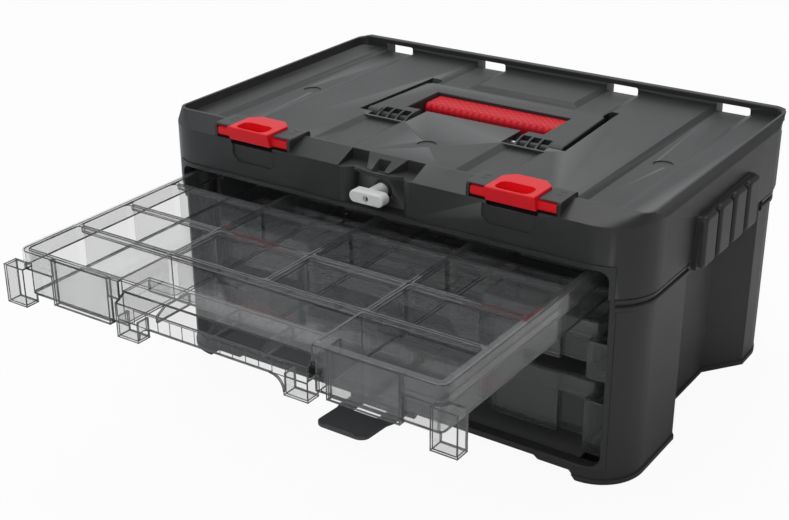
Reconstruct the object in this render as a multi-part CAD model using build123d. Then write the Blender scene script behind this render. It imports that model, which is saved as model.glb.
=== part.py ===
from build123d import *
import os

# Portable stackable tool box with three clear compartment drawers.
#
# Millimetres. +Z is up, +X is to the right and the drawers face -Y. The origin is the centre of
# the footprint at floor level. The top drawer is written pulled out by TRAVEL, the others shut.
# Heights are worked upwards from the drawer opening, and places along X and Y inwards from the
# skirt, so a change of one size carries the pieces that depend on it.

EXTRA = 1.0  # how far a cut runs past the face that it opens

# ---------------------------------------------------------------- driving dimensions: the shells
WIDTH = 481.0  # across the cover's skirt
DEPTH = 333.0  # front to back over the cover's skirt
WALL = 3.0  # moulded wall of both shells
BODY_INSET = 3.5  # the body's walls stand in from the cover's skirt by this
CORNER_RADIUS = 44.0  # upright corners of the skirt
SEAM_DROP = 24.0  # the cover meets the body this far below the top of the opening
SEAM_CHAMFER = 1.2  # on each shell where they meet
BEAD_HEIGHT = 5.0  # each of the two beads round the top of the body
BEAD_GAP = 1.6
BEAD_PROUD = 2.4
SKIRT_ABOVE_FRAME = 32.0  # top of the opening's frame to the top of the upright skirt
RIM_RISE = 9.0  # rim round the lid panel, above the upright skirt
PANEL_DROP = 8.0  # lid panel, below the rim
RIM_SIDE_INSET = 3.0  # steep chamfer, side to rim
RIM_FRONT_INSET = 22.5  # broad chamfer, front to rim
RIM_REAR_INSET = 10.0
RIM_RADIUS = 12.0  # corners of the rim
RIM_LAND = 2.5  # flat width of the rim
RIM_INNER_SLOPE = 1.5  # the rim's inner wall leans by this
CHANNEL_DEPTH = 3.0  # stiffening channels pressed into the lid panel
CHANNEL_SLOPE = 7.0  # width of a channel's sloping side
INNER_CHANNEL = (52.0, 95.0)  # from the middle plane, both sides
OUTER_CHANNEL = (165.0, 207.0)
CROSS_CHANNEL = 11.0  # the channel behind the handle well, front to back
GATE_RADIUS = 8.5  # shallow round marks in the lid panel
GATE_DEPTH = 0.8
GATE_PLACES = ((-186.0, -5.0), (-1.0, -84.0), (188.0, -10.0))

# ---------------------------------------------------------------- base, feet and side recesses
OPENING_LOW_Z = 17.0  # bottom of the drawer opening
FLOOR_STEP = 3.0  # the floor plate lies this far below the opening
FLOOR_THICKNESS = 3.0
SILL_HALF = 157.0  # the floor plate's edge strips run from here out to the feet
SILL_DROP = 3.0  # the edge strips hang this far below the floor plate
SILL_SLOPE = 4.0  # width of the slant between the two
FOOT_WIDTH_BASE = 47.0  # the feet, from the body's side inwards, where they leave the floor plate
FOOT_SLOPE = 7.0  # the feet's inner sides slope in by this
BASE_CHAMFER = 1.0
FOOT_FLANGE = 5.0  # height of the flange round the foot of the body
FLANGE_PROUD = 1.2
RIB_HEIGHT = 7.0
RIB_PITCH = 60.0  # ribs under the floor plate
RIB_WIDTH = 2.5
RIB_FRONT_INSET = 66.0  # from the skirt's front to the first cross rib
RIB_REAR_INSET = 26.0
CROSS_RIBS = 4
RECESS_DEPTH = 26.0  # hand recess in each side of the body
RECESS_SLOPE = 36.0  # its slanted ends, front to back
RECESS_FRONT_INSET = 106.0  # from the skirt's front to the recess
RECESS_REAR_INSET = 65.0

# ---------------------------------------------------------------- side hand grips on the cover
GRIP_FRONT_INSET = 106.0  # from the skirt's front to the grip
GRIP_LENGTH = 126.0
GRIP_HANG = 7.0  # the grip hangs this far below the seam
GRIP_HEIGHT_SIDE = 46.0
GRIP_PROUD = 4.0
GRIP_TAPER = 4.0
KNUCKLE_COUNT = 4
KNUCKLE_GAP = 6.0  # between two knuckles
KNUCKLE_PROUD = 5.0
KNUCKLE_ROUND = 3.5
KNUCKLE_CORNER = 5.0

# ---------------------------------------------------------------- back lip
LIP_INSET = 16.5  # from the skirt's back to the lip's front face
LIP_THICKNESS = 6.5
LIP_RISE = 2.0  # above the rim
LIP_END_INSET = 7.0  # from the skirt's side to the lip's end
LIP_END_SLOPE = 8.0
LIP_ROUND = 1.5
WINDOW_LENGTH = 33.0
WINDOW_HEIGHT = 7.8
WINDOW_RADIUS = 2.2
WINDOW_FALL = 9.0  # the window's floor falls away towards the back by this
WINDOW_CENTRES = (73.5, 186.5)

# ---------------------------------------------------------------- drawer opening and its frame
OPENING_SIDE = 25.0  # from the skirt's side to the opening
OPENING_RADIUS = 9.0
FRAME_WIDTH = 4.0  # the frame's bars, seen from the front
FRAME_DEPTH = 14.0
FRAME_PROUD = 1.0  # in front of the shells' own surface
FRAME_SCREW_X = 120.0
FRAME_SCREW_INSET = 5.0  # screw axis from the frame's rear face
FRAME_SCREW_BITE = 8.0
FRAME_BOSS_RADIUS = 4.0
WEB_THICKNESS = 3.0  # webs from bosses and columns to the walls

# ---------------------------------------------------------------- screws
SCREW_RADIUS = 1.9
SCREW_HEAD_RADIUS = 3.8
SCREW_HEAD_HEIGHT = 2.6
SCREW_GRIP = 24.0  # shank length in the body's column
SCREW_BITE = 14.0  # shank length in the cover's column
SCREW_CLEARANCE = 0.2  # round a shank
HEAD_CLEARANCE = 0.4  # round a head
CROSS_SLOT = (1.2, 5.0, 1.2)  # the cross in a screw's head: width, length, depth
COLUMN_RADIUS = 6.0
COLUMN_SIDE_INSET = 9.5  # column axis from the body's outer side
COLUMN_FRONT_INSET = 44.5  # and from the skirt's front
COLUMN_REAR_INSET = 34.0
COLUMN_TOP_GAP = 4.0  # the cover's columns end this far below the upright skirt's top
SMALL_SCREW_RADIUS = 1.5
SMALL_HEAD_RADIUS = 3.0
SMALL_HEAD_HEIGHT = 1.8
SMALL_BITE = 2.0

# ---------------------------------------------------------------- drawers
TRAVEL = 234.0  # how far a drawer pulls out
TRAY_SETBACK = 20.0  # a shut drawer's front, behind the skirt's front
TRAY_REAR_GAP = 13.0  # a shut drawer's back, before the skirt's back
BAND_SETBACK = 5.0  # the rim band, behind the feet and the pull
FOOT_GAP = 0.5  # between a drawer's corner foot and the opening's side
FOOT_STEP = 13.0  # the foot stands out past the rim band
BAND_STEP = 4.5  # the rim band stands out past the compartment walls
TRAY_WALL = 2.0
TRAY_FLOOR = 2.0
BAND_HEIGHT = 16.5  # rim band round the tray
BAND_WALL = 1.8
BAND_DEPTH = 4.5  # from the band's front to the front compartment wall
BAND_RADIUS = 9.0
BAND_ROUND = 1.2
TRAY_RADIUS = 6.0
TRAY_CHAMFER = 1.5
CELL_RADIUS = 3.0
RIM_GAP = 3.5  # between the top drawer's rim and the opening's top
DRAWER_GAP = 5.5  # between a drawer's feet and the next rim
FLOOR_GAP = 1.5  # between the bottom drawer's feet and the opening's bottom
SHALLOW_BODY = 41.0
SHALLOW_FOOT = 48.5
DEEP_BODY = 56.0
DEEP_FOOT = 64.0
DIVIDER = 4.0
DIVIDER_GROOVE = 1.6
DIVIDER_GROOVE_DEPTH = 5.0
DIVIDER_DROP = 1.0  # dividers end this far below the rim
COLUMN_PITCH = 93.5
FRONT_ROW = 67.0  # from the tray's front to the first cross wall
ROW_PITCH = 58.5
FOOT_WIDTH = 22.0
FOOT_DEPTH = 13.0
FOOT_WALL = 1.8
FOOT_LAP = 2.0  # the corner foot's top runs up into the band
FASCIA_GAP = 12.0  # from the pull to the raised front panel
FASCIA_WIDTH = 62.0
FASCIA_DROP = 1.0  # the raised panel ends this far below the rim

# ---------------------------------------------------------------- drawer pulls
PULL_HALF = 92.0
PULL_DEPTH = 40.0
PULL_TOP_DROP = 10.5  # top of the pull, below the rim
PULL_BROW = 11.0  # the sloping brow, front to back
PULL_BROW_DROP = 6.0  # and its height
PULL_LOW_DROP = 31.0  # bottom of the pull's front
PULL_BACK_DEPTH = 12.0  # the pull's rear wall, top to bottom
PULL_RIBS = (-50.0, 0.0, 50.0)
PULL_WALL = 2.2
PULL_FOOT_WIDTH = 22.0
PULL_FOOT_DROP = 45.5
PULL_FOOT_LAP = 3.0  # the pull's foot runs up behind its front
PULL_ARCH_RADIUS = 12.0
PULL_ARCH_LAND = 0.4  # least height of the brace over the arch

# ---------------------------------------------------------------- runners
LEDGE_THICKNESS = 4.0
LEDGE_GAP = 1.5  # between a ledge and the compartment walls
RUNNER_THICKNESS = 4.5
RUNNER_FRONT_INSET = 38.5  # from the skirt's front
RUNNER_REAR_INSET = 14.5
RUN_CLEARANCE = 0.5  # under the drawers' bands
RUNNER_SCREW_DROP = 14.0  # screws below each drawer's band
RUNNER_SCREW_INSET = 8.0  # from the ends of the recess's flat wall

# ---------------------------------------------------------------- carry handle
HANDLE_PROUD = 0.5  # top of the handle's frame, above the lid panel
HANDLE_THICKNESS = 14.0
HANDLE_AXIS_Y = -25.0
HANDLE_REAR_Y = 69.0
HANDLE_REAR_HALF = 97.0
HANDLE_FRONT_HALF = 102.5
HANDLE_CORNER = 5.0
HANDLE_CHAMFER = 0.8
ARM_INNER_HALF = 72.0  # inside of the arms beside the grip
HINGE_INNER_HALF = 57.0  # inside of the hinge ends
HINGE_OUTER_HALF = 90.0  # the ears before the axis end here
HINGE_REACH = 16.0  # the ears, forward of the axis
HINGE_LENGTH = 18.0  # of the wide hinge ends, back from the axis
EAR_FALL = 9.0  # the ears' rounded tops fall by this towards the front
EAR_HEIGHT = 5.0  # and this much is left at their front edge
REAR_BAR = 22.0
GRIP_HALF = 70.0
GRIP_DEPTH = 28.0
GRIP_HEIGHT = 21.0
GRIP_TOP_DROP = 3.5
GRIP_ROUND = 6.0
GRIP_BACKING = 5.0  # the frame's web behind the grip
GRIP_BACKING_LIFT = 2.0  # its foot, above the grip's
CORE_DEPTH = 15.0
CORE_HEIGHT = 9.0
CORE_END = 4.0  # the grip covers the core's ends by this
HANDLE_SIDE_GAP = 5.5  # between the handle and the sides of its well
HANDLE_REAR_GAP = 4.0
HANDLE_FRONT_GAP = 2.5
WELL_DEPTH = 32.5  # from the lid panel
WELL_WALL = 3.0
THUMB_INNER = 91.0  # the thumb notches in the well's rear corners run from here outwards
THUMB_DEPTH = 11.0
TONGUE_HALF = 50.0  # the panel's tongue between the hinge ends
TONGUE_LENGTH = 17.0  # back from the axis
PIN_RADIUS = 2.5
PIN_CLEARANCE = 0.08
PIN_LAND = 1.2  # wall left over a pin's end
HINGE_POCKETS = 3
HINGE_POCKET_BACK = 7.0  # the pockets run back this far behind the axis
HINGE_WEB = 2.2
HINGE_TUBE = 2.0  # wall round the pin inside the pockets
HINGE_FLOOR = 2.0

# ---------------------------------------------------------------- stacking latches
LATCH_SIDE = 110.0  # latch centre from the skirt's side
LATCH_HALF = 22.5
LATCH_LENGTH = 38.5  # front to back, over the top
LATCH_PROUD = 5.0  # top of the latch, above the rim
LATCH_LIFT = 0.7  # the plate lies this far above the lid
LATCH_NOSE = 5.5  # the latch's front, before the skirt's front
LATCH_NOSE_FALL = 3.5  # the nose leans back by this towards its foot
LATCH_NOSE_HEIGHT = 12.5
LATCH_AXIS_INSET = 5.5  # pivot axis behind the skirt's front
LATCH_AXIS_DROP = 3.5  # and below the rim
WING_HALF_HEIGHT = 4.3
WING_ROUND = 2.5
WING_CLEARANCE = 0.35
LATCH_WING_HALF = 38.5
LATCH_CLEARANCE = 0.6
LATCH_EYE_HALF = 16.0
LATCH_EYE_DEPTH = 17.0
LATCH_EYE_ROUND = 6.5
LATCH_EYE_WALL = 2.5  # between the eye and the nose
LATCH_EYE_DROP = 7.5
LATCH_ROUND = 1.2
LATCH_SWING = 10.0  # radius that the nose needs round the axis
LATCH_CORNER = 9.0  # the plate's cut rear corners
SEAT_RISE = 3.0  # the seats' tops, above the rim
SEAT_END = 3.0  # material past the wings' ends
SEAT_ROUND = 3.0
SEAT_REAR = 8.0  # the seats run back over the rim by this
CUP_WALL = 2.5
POCKET_DEPTH = 1.4  # the shallow pocket in the skirt below a latch
POCKET_SPAN = (27.0, 21.5)  # from the latch's centre, inwards and outwards
POCKET_TOP_DROP = 2.0  # below the upright skirt's top
POCKET_HEIGHT = 17.0
POCKET_CORNER = 6.0

# ---------------------------------------------------------------- front notch, padlock lug, lock
NOTCH_HALF = 37.0  # at the skirt's front
NOTCH_DEPTH = 13.0
LUG_DROP = 9.5  # top of the lug, below the rim
LUG_THICKNESS = 3.5
LUG_REACH = 2.0  # the lug's front edge behind the skirt's front, in the middle
LUG_END_INSET = 15.0  # and at the notch's cheeks
LUG_EYE = (12.0, 13.0)
LUG_EYE_INSET = 9.0  # eye centre behind the lug's front edge
WEDGE_HALF_FRONT = 11.0  # the sloping wedge over the lug
WEDGE_HALF_REAR = 20.0
WEDGE_INSET = 3.5  # its foot behind the lug's front edge
WEDGE_TOE = 1.0  # its height there
LOCK_LIFT = 13.5  # lock axis above the frame
KNOB_HALF_LENGTH = 16.8
KNOB_HEIGHT = 10.8
KNOB_DEPTH = 10.5
KNOB_GAP = 1.0  # between the knob's wing and the frame's front
KNOB_ROUND = 1.5
KNOB_CORNER = 5.2
KNOB_EYE_RADIUS = 2.6
KNOB_EYE_DEPTH = 3.0
HUB_RADIUS = 6.5
SPINDLE_RADIUS = 4.0
SPINDLE_CLEARANCE = 0.1
CAM_THICKNESS = 4.0
CAM_LENGTH = 13.0
CAM_WIDTH = 9.0
CAM_ROUND = 4.0
LOCK_SCREW_LENGTH = 12.0

# ---------------------------------------------------------------- release tab under the front
TAB_AXIS_INSET = 11.5  # pin behind the skirt's front
TAB_AXIS_DROP = 5.5  # and below the floor plate
TAB_PIN_RADIUS = 2.0
TAB_KNUCKLE_RADIUS = 4.5
TAB_REACH = 69.0  # from the pin to the tip
TAB_RISE = 5.5  # the tip, above the pin
TAB_KNEE = 2.0  # the tab's bend next to the knuckle, above the pin
TAB_THICKNESS = 3.0
TAB_TIP_HALF = 26.5
TAB_CORNER = 9.0
TAB_ROOT_HALF = 29.0
TAB_TIP_LENGTH = 34.0
TAB_TAPER = 8.0  # where it narrows from root to tip
TAB_EAR = 4.0
TAB_SIDE_GAP = 0.6
TAB_WINDOW_HALF = 14.0
TAB_WINDOW_GAP = 4.0
TAB_ROLL_RADIUS = 2.2
TAB_ROLL_INSET = 10.0

# ---------------------------------------------------------------- values worked out from those above
half_w = WIDTH / 2
half_d = DEPTH / 2
body_half_w = half_w - BODY_INSET
body_half_d = half_d - BODY_INSET
body_radius = CORNER_RADIUS - BODY_INSET
recess_x = body_half_w - RECESS_DEPTH
recess_front_y = -half_d + RECESS_FRONT_INSET
recess_rear_y = half_d - RECESS_REAR_INSET
flat_front_y = recess_front_y + RECESS_SLOPE  # the flat wall of the recess, end to end
flat_rear_y = recess_rear_y - RECESS_SLOPE
foot_inner_x = body_half_w - FOOT_WIDTH_BASE

floor_z = OPENING_LOW_Z - FLOOR_STEP
base_clear = floor_z - FLOOR_THICKNESS  # underside of the floor plate
bottom_rim_z = OPENING_LOW_Z + FLOOR_GAP + DEEP_FOOT
middle_rim_z = bottom_rim_z + DRAWER_GAP + SHALLOW_FOOT
top_rim_z = middle_rim_z + DRAWER_GAP + SHALLOW_FOOT
rim_heights = (top_rim_z, middle_rim_z, bottom_rim_z)
opening_top_z = top_rim_z + RIM_GAP
seam_z = opening_top_z - SEAM_DROP
frame_low_z = OPENING_LOW_Z - FRAME_WIDTH
frame_top_z = opening_top_z + FRAME_WIDTH
shoulder_z = frame_top_z + SKIRT_ABOVE_FRAME
rim_z = shoulder_z + RIM_RISE
panel_z = rim_z - PANEL_DROP
channel_z = panel_z - CHANNEL_DEPTH
roof_z = channel_z - WALL  # underside of the lid panel

opening_half = half_w - OPENING_SIDE
frame_half = opening_half + FRAME_WIDTH
frame_front_y = -half_d - FRAME_PROUD
frame_rear_y = frame_front_y + FRAME_DEPTH
frame_screw_y = frame_rear_y - FRAME_SCREW_INSET
column_x = body_half_w - COLUMN_SIDE_INSET
column_top_z = shoulder_z - COLUMN_TOP_GAP
column_places = [
    (side * column_x, y)
    for side in (-1, 1)
    for y in (-half_d + COLUMN_FRONT_INSET, half_d - COLUMN_REAR_INSET)
]

rim_side_x = half_w - RIM_SIDE_INSET
rim_front_y = -half_d + RIM_FRONT_INSET
rim_rear_y = half_d - RIM_REAR_INSET
panel_side_x = rim_side_x - RIM_LAND - RIM_INNER_SLOPE
panel_front_y = rim_front_y + RIM_LAND + RIM_INNER_SLOPE
lip_front_y = half_d - LIP_INSET
lip_top_z = rim_z + LIP_RISE
lip_half = half_w - LIP_END_INSET

foot_outer_half = opening_half - FOOT_GAP
tray_rim_half = foot_outer_half - FOOT_STEP
tray_half = tray_rim_half - BAND_STEP
tray_front_y = -half_d + TRAY_SETBACK
tray_rear_y = half_d - TRAY_REAR_GAP
fascia_inner = PULL_HALF + FASCIA_GAP
runner_x = recess_x - WALL  # outside of the runner panels, against the body's inner wall
runner_inner_x = runner_x - RUNNER_THICKNESS
ledge_inner_x = tray_half + LEDGE_GAP
runner_front_y = -half_d + RUNNER_FRONT_INSET
runner_rear_y = half_d - RUNNER_REAR_INSET
runner_screw_places = [
    (y, rim - BAND_HEIGHT - RUNNER_SCREW_DROP)
    for y in (flat_front_y + RUNNER_SCREW_INSET, flat_rear_y - RUNNER_SCREW_INSET)
    for rim in rim_heights
]

handle_z = panel_z + HANDLE_PROUD
handle_low_z = handle_z - HANDLE_THICKNESS
handle_axis_z = handle_z - HANDLE_THICKNESS / 2
handle_bar_y = HANDLE_REAR_Y - REAR_BAR  # inside of the rear bar, where the grip begins
hinge_front_y = HANDLE_AXIS_Y - HINGE_REACH
well_floor_z = panel_z - WELL_DEPTH
well_front_y = hinge_front_y - HANDLE_FRONT_GAP
well_rear_y = HANDLE_REAR_Y + HANDLE_REAR_GAP
tongue_rear_y = HANDLE_AXIS_Y + TONGUE_LENGTH

latch_x = half_w - LATCH_SIDE
latch_axis_y = -half_d + LATCH_AXIS_INSET
latch_axis_z = rim_z - LATCH_AXIS_DROP
latch_top_z = rim_z + LATCH_PROUD
latch_front_y = -half_d - LATCH_NOSE
latch_rear_y = latch_front_y + LATCH_LENGTH
wing_reach = (WING_HALF_HEIGHT - WING_ROUND) * 2**0.5 + WING_ROUND
wing_bore = wing_reach + WING_CLEARANCE
seat_top_z = rim_z + SEAT_RISE
seat_front_y = latch_axis_y - WING_HALF_HEIGHT - WING_CLEARANCE
nose_low_z = latch_top_z - LATCH_NOSE_HEIGHT

notch_y = -half_d + NOTCH_DEPTH
lug_top_z = rim_z - LUG_DROP
lug_low_z = lug_top_z - LUG_THICKNESS
lug_front_y = -half_d + LUG_REACH
lock_z = frame_top_z + LOCK_LIFT
knob_back_y = frame_front_y - KNOB_GAP
lock_screw_y = notch_y + WALL + CAM_THICKNESS - LOCK_SCREW_LENGTH  # the screw's tip in the spindle

tab_axis_y = -half_d + TAB_AXIS_INSET
tab_axis_z = base_clear - TAB_AXIS_DROP
tab_tip_y = tab_axis_y - TAB_REACH
tab_tip_z = tab_axis_z + TAB_RISE
tab_neck_y = tab_tip_y + TAB_TIP_LENGTH


# ---------------------------------------------------------------- helpers
def block(x0, x1, y0, y1, z0, z1):
    """A box between two opposite corners."""
    solid = Box(abs(x1 - x0), abs(y1 - y0), abs(z1 - z0))
    return Pos((x0 + x1) / 2, (y0 + y1) / 2, (z0 + z1) / 2) * solid


def plan(x_half, y_front, y_rear, radius):
    """A rounded rectangle seen from above, about the middle plane."""
    shape = RectangleRounded(2 * x_half, y_rear - y_front, radius)
    return Pos(0, (y_front + y_rear) / 2) * shape


def upright(sketch, z0, z1):
    """A plan extruded between two heights."""
    return extrude(Pos(0, 0, z0) * sketch, z1 - z0)


def tapered(low_sketch, z0, high_sketch, z1):
    """A loft between a plan at one height and a plan at another."""
    return loft([Pos(0, 0, z0) * low_sketch, Pos(0, 0, z1) * high_sketch])


def polygon(points):
    """A flat shape with straight sides."""
    return make_face(Polyline(*points, close=True))


def mirrored(points):
    """Points of a right half, followed by their mirror images, to close round the middle plane."""
    return points + [(-x, y) for x, y in reversed(points)]


def across(face_points, x0, x1):
    """A profile of (y, z) points, extruded along X."""
    return along_x(polygon(face_points), x0, x1)


def along_x(sketch, x0, x1):
    """A sketch of (y, z) extruded along X from x0 to x1."""
    return extrude(Plane(origin=(x0, 0, 0), x_dir=(0, 1, 0), z_dir=(1, 0, 0)) * sketch, x1 - x0)


def forward(sketch, y0, y1):
    """A sketch of (x, z) extruded along Y from y0 to y1."""
    plane = Plane(origin=(0, y1, 0), x_dir=(1, 0, 0), z_dir=(0, -1, 0))
    return extrude(plane * sketch, y1 - y0)


def rod_x(x0, x1, y, z, radius):
    """A round bar along X."""
    bar = Cylinder(radius, abs(x1 - x0), rotation=(0, 90, 0))
    return Pos((x0 + x1) / 2, y, z) * bar


def rod_y(x, y0, y1, z, radius):
    """A round bar along Y."""
    bar = Cylinder(radius, abs(y1 - y0), rotation=(90, 0, 0))
    return Pos(x, (y0 + y1) / 2, z) * bar


def rod_z(x, y, z0, z1, radius):
    """A round bar along Z."""
    return Pos(x, y, (z0 + z1) / 2) * Cylinder(radius, abs(z1 - z0))


def both_sides(shape):
    """A shape and its mirror image about the middle plane."""
    return shape + mirror(shape, about=Plane.YZ)


def rounded(x0, x1, y0, y1, radius):
    """A rounded rectangle between two opposite corners, as a sketch."""
    return Pos((x0 + x1) / 2, (y0 + y1) / 2) * RectangleRounded(x1 - x0, y1 - y0, radius)


# ---------------------------------------------------------------- body
def body_plan(grow=0.0):
    """The body's outline with a hand recess in each side."""
    outline = plan(body_half_w, -body_half_d, body_half_d, body_radius)
    run = EXTRA * RECESS_SLOPE / RECESS_DEPTH
    for side in (-1, 1):
        corners = [
            (side * (body_half_w + EXTRA), recess_front_y - run),
            (side * recess_x, flat_front_y),
            (side * recess_x, flat_rear_y),
            (side * (body_half_w + EXTRA), recess_rear_y + run),
        ]
        outline -= polygon(corners)
    return offset(outline, grow, kind=Kind.INTERSECTION) if grow else outline


def body_bead(top_z):
    """One bead that stands out round the body's top, left off above the recesses."""
    low_z = top_z - BEAD_HEIGHT
    half = body_half_w + BEAD_PROUD
    deep = body_half_d + BEAD_PROUD
    ring = upright(plan(half, -deep, deep, body_radius + BEAD_PROUD), low_z, top_z)
    ring = chamfer(ring.edges().group_by(Axis.Z)[-1], SEAM_CHAMFER)
    ring = chamfer(ring.edges().group_by(Axis.Z)[0], SEAM_CHAMFER)
    ring -= upright(body_plan(-WALL), low_z - EXTRA, top_z + EXTRA)
    for side in (-1, 1):
        gap = (side * (recess_x - WALL), side * (half + EXTRA))
        ring -= block(*gap, recess_front_y, recess_rear_y, low_z - EXTRA, top_z + EXTRA)
    return ring


def base_hollow():
    """What is taken away under the floor plate, between the feet."""
    sill_z = base_clear - SILL_DROP
    right = [
        (foot_inner_x + FOOT_SLOPE, -EXTRA),
        (foot_inner_x + FOOT_SLOPE, 0),
        (foot_inner_x, sill_z),
        (SILL_HALF + SILL_SLOPE, sill_z),
        (SILL_HALF, base_clear),
    ]
    return forward(polygon(mirrored(right)), -half_d - EXTRA, half_d + EXTRA)


def foot_hollows():
    """The hollows inside the two feet, open to the space above the floor plate."""
    wells = upright(body_plan(-WALL), WALL, floor_z + EXTRA)
    right = [
        (foot_inner_x + FOOT_SLOPE + WALL, 0),
        (foot_inner_x + WALL, base_clear - SILL_DROP),
        (foot_inner_x + WALL, floor_z + 2 * EXTRA),
    ]
    return wells - forward(polygon(mirrored(right)), -half_d, half_d)


def base_ribs():
    """Ribs under the floor plate, front to back and across."""
    low_z = base_clear - RIB_HEIGHT
    top_z = base_clear + EXTRA
    front_y = -half_d + RIB_FRONT_INSET
    rear_y = half_d - RIB_REAR_INSET
    half = RIB_WIDTH / 2
    count = int(foot_inner_x // RIB_PITCH)
    lengthwise = [step * RIB_PITCH for step in range(-count, count + 1)]
    ribs = [block(x - half, x + half, front_y, rear_y, low_z, top_z) for x in lengthwise]
    end = foot_inner_x + FOOT_SLOPE / 2
    pitch = (rear_y - front_y) / (CROSS_RIBS - 1)
    for index in range(CROSS_RIBS):
        y = front_y + index * pitch
        ribs.append(block(-end, end, y - half, y + half, low_z, top_z))
    return ribs


def body_column(x, y):
    """Screw column in a corner post, with a web to the side wall."""
    side = 1 if x > 0 else -1
    half = WEB_THICKNESS / 2
    web = block(x, side * (body_half_w - EXTRA), y - half, y + half, WALL - EXTRA, seam_z)
    return rod_z(x, y, WALL - EXTRA, seam_z, COLUMN_RADIUS) + web


def tab_ears():
    """Two ears under the front edge that carry the release tab's pin."""
    inner = TAB_ROOT_HALF + TAB_SIDE_GAP
    outer = inner + TAB_EAR
    radius = TAB_KNUCKLE_RADIUS
    ear = block(inner, outer, tab_axis_y - radius, tab_axis_y + radius, tab_axis_z, base_clear + EXTRA)
    ear += rod_x(inner, outer, tab_axis_y, tab_axis_z, radius)
    ear -= rod_x(inner - EXTRA, outer + EXTRA, tab_axis_y, tab_axis_z, TAB_PIN_RADIUS)
    return both_sides(ear)


def case_body():
    """Lower shell: open at the front and the top, with hollow feet down both sides."""
    shell = upright(body_plan(), 0, seam_z) + upright(body_plan(FLANGE_PROUD), 0, FOOT_FLANGE)
    shell = chamfer(shell.edges().group_by(Axis.Z)[0], BASE_CHAMFER)
    shell -= base_hollow()
    shell -= upright(body_plan(-WALL), floor_z, seam_z + EXTRA)
    shell -= foot_hollows()
    shell += body_bead(seam_z)
    shell += body_bead(seam_z - BEAD_HEIGHT - BEAD_GAP)
    front_y = -half_d - FLANGE_PROUD - EXTRA
    shell -= block(-frame_half, frame_half, front_y, frame_rear_y, frame_low_z, seam_z + EXTRA)
    for rib in base_ribs():
        shell += rib
    for x, y in column_places:
        shell += body_column(x, y)
    for x, y in column_places:
        head_top = seam_z - SCREW_GRIP
        shell -= rod_z(x, y, -EXTRA, head_top, SCREW_HEAD_RADIUS + HEAD_CLEARANCE)
        shell -= rod_z(x, y, 0, seam_z + EXTRA, SCREW_RADIUS + SCREW_CLEARANCE)
    for side in (-1, 1):
        for y, z in runner_screw_places:
            span = (side * (runner_x - EXTRA), side * (runner_x + SMALL_BITE))
            shell -= rod_x(*span, y, z, SMALL_SCREW_RADIUS)
    return shell + tab_ears()


# ---------------------------------------------------------------- cover
def cover_outside():
    """The cover's outer form: skirt, wide front chamfer and steep sides up to the rim."""
    low = plan(half_w, -half_d, half_d, CORNER_RADIUS)
    skirt = upright(low, seam_z, shoulder_z)
    skirt = chamfer(skirt.edges().group_by(Axis.Z)[0], SEAM_CHAMFER)
    return skirt + tapered(low, shoulder_z, plan(rim_side_x, rim_front_y, rim_rear_y, RIM_RADIUS), rim_z)


def cover_inside():
    """The hollow under the lid panel, and the wedge of space under the front chamfer."""
    wall_y = -half_d + WALL
    inside = plan(half_w - WALL, wall_y, half_d - WALL, CORNER_RADIUS - WALL)
    hollow = upright(inside, seam_z - EXTRA, roof_z)
    slope = RIM_RISE / RIM_FRONT_INSET
    skin = WALL * (1 + slope**2) ** 0.5
    rear_y = rim_front_y + RIM_LAND - WALL
    points = [
        (wall_y, roof_z - EXTRA),
        (wall_y, shoulder_z + slope * WALL - skin),
        (rear_y, shoulder_z + slope * (rear_y + half_d) - skin),
        (rear_y, roof_z - EXTRA),
    ]
    half = half_w - CORNER_RADIUS
    return hollow + across(points, -half, half)


def panel_recess():
    """What is taken away inside the rim to leave the lid panel."""
    run = RIM_INNER_SLOPE * (PANEL_DROP + EXTRA) / PANEL_DROP
    radius = RIM_RADIUS - RIM_LAND - RIM_INNER_SLOPE
    low = plan(panel_side_x, panel_front_y, lip_front_y, radius)
    high = plan(panel_side_x + run, panel_front_y - run, lip_front_y, radius + run)
    return tapered(low, panel_z, high, rim_z + EXTRA)


def channel(x0, x1, y0, y1):
    """One stiffening channel with sloped sides."""
    run = EXTRA * CHANNEL_SLOPE / CHANNEL_DEPTH
    points = [
        (x0 - run, panel_z + EXTRA),
        (x0 + CHANNEL_SLOPE, channel_z),
        (x1 - CHANNEL_SLOPE, channel_z),
        (x1 + run, panel_z + EXTRA),
    ]
    return forward(polygon(points), y0, y1)


def cross_channel():
    """The channel behind the handle well, with a sloped rear edge."""
    half = INNER_CHANNEL[1]
    rear_y = well_rear_y + CROSS_CHANNEL
    points = [
        (well_rear_y - EXTRA, channel_z),
        (rear_y, channel_z),
        (rear_y + CHANNEL_SLOPE, panel_z + EXTRA),
        (well_rear_y - EXTRA, panel_z + EXTRA),
    ]
    return channel(-half, half, well_rear_y - EXTRA, rear_y + CHANNEL_SLOPE) & across(points, -half, half)


def channels():
    """All the channels: two long ones outside the handle, and short ones before and behind it."""
    cuts = [channel(*OUTER_CHANNEL, panel_front_y, lip_front_y)]
    cuts.append(channel(*INNER_CHANNEL, panel_front_y, well_front_y - WELL_WALL))
    cuts.append(channel(*INNER_CHANNEL, well_rear_y + WELL_WALL, lip_front_y))
    return [both_sides(cut) for cut in cuts] + [cross_channel()]


def gate_marks():
    """The shallow round marks in the lid panel and in the channels' floors."""
    marks = []
    for x, y in GATE_PLACES:
        surface_z = channel_z if abs(x) > OUTER_CHANNEL[0] else panel_z
        marks.append(rod_z(x, y, surface_z - GATE_DEPTH, surface_z + EXTRA, GATE_RADIUS))
    return marks


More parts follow.
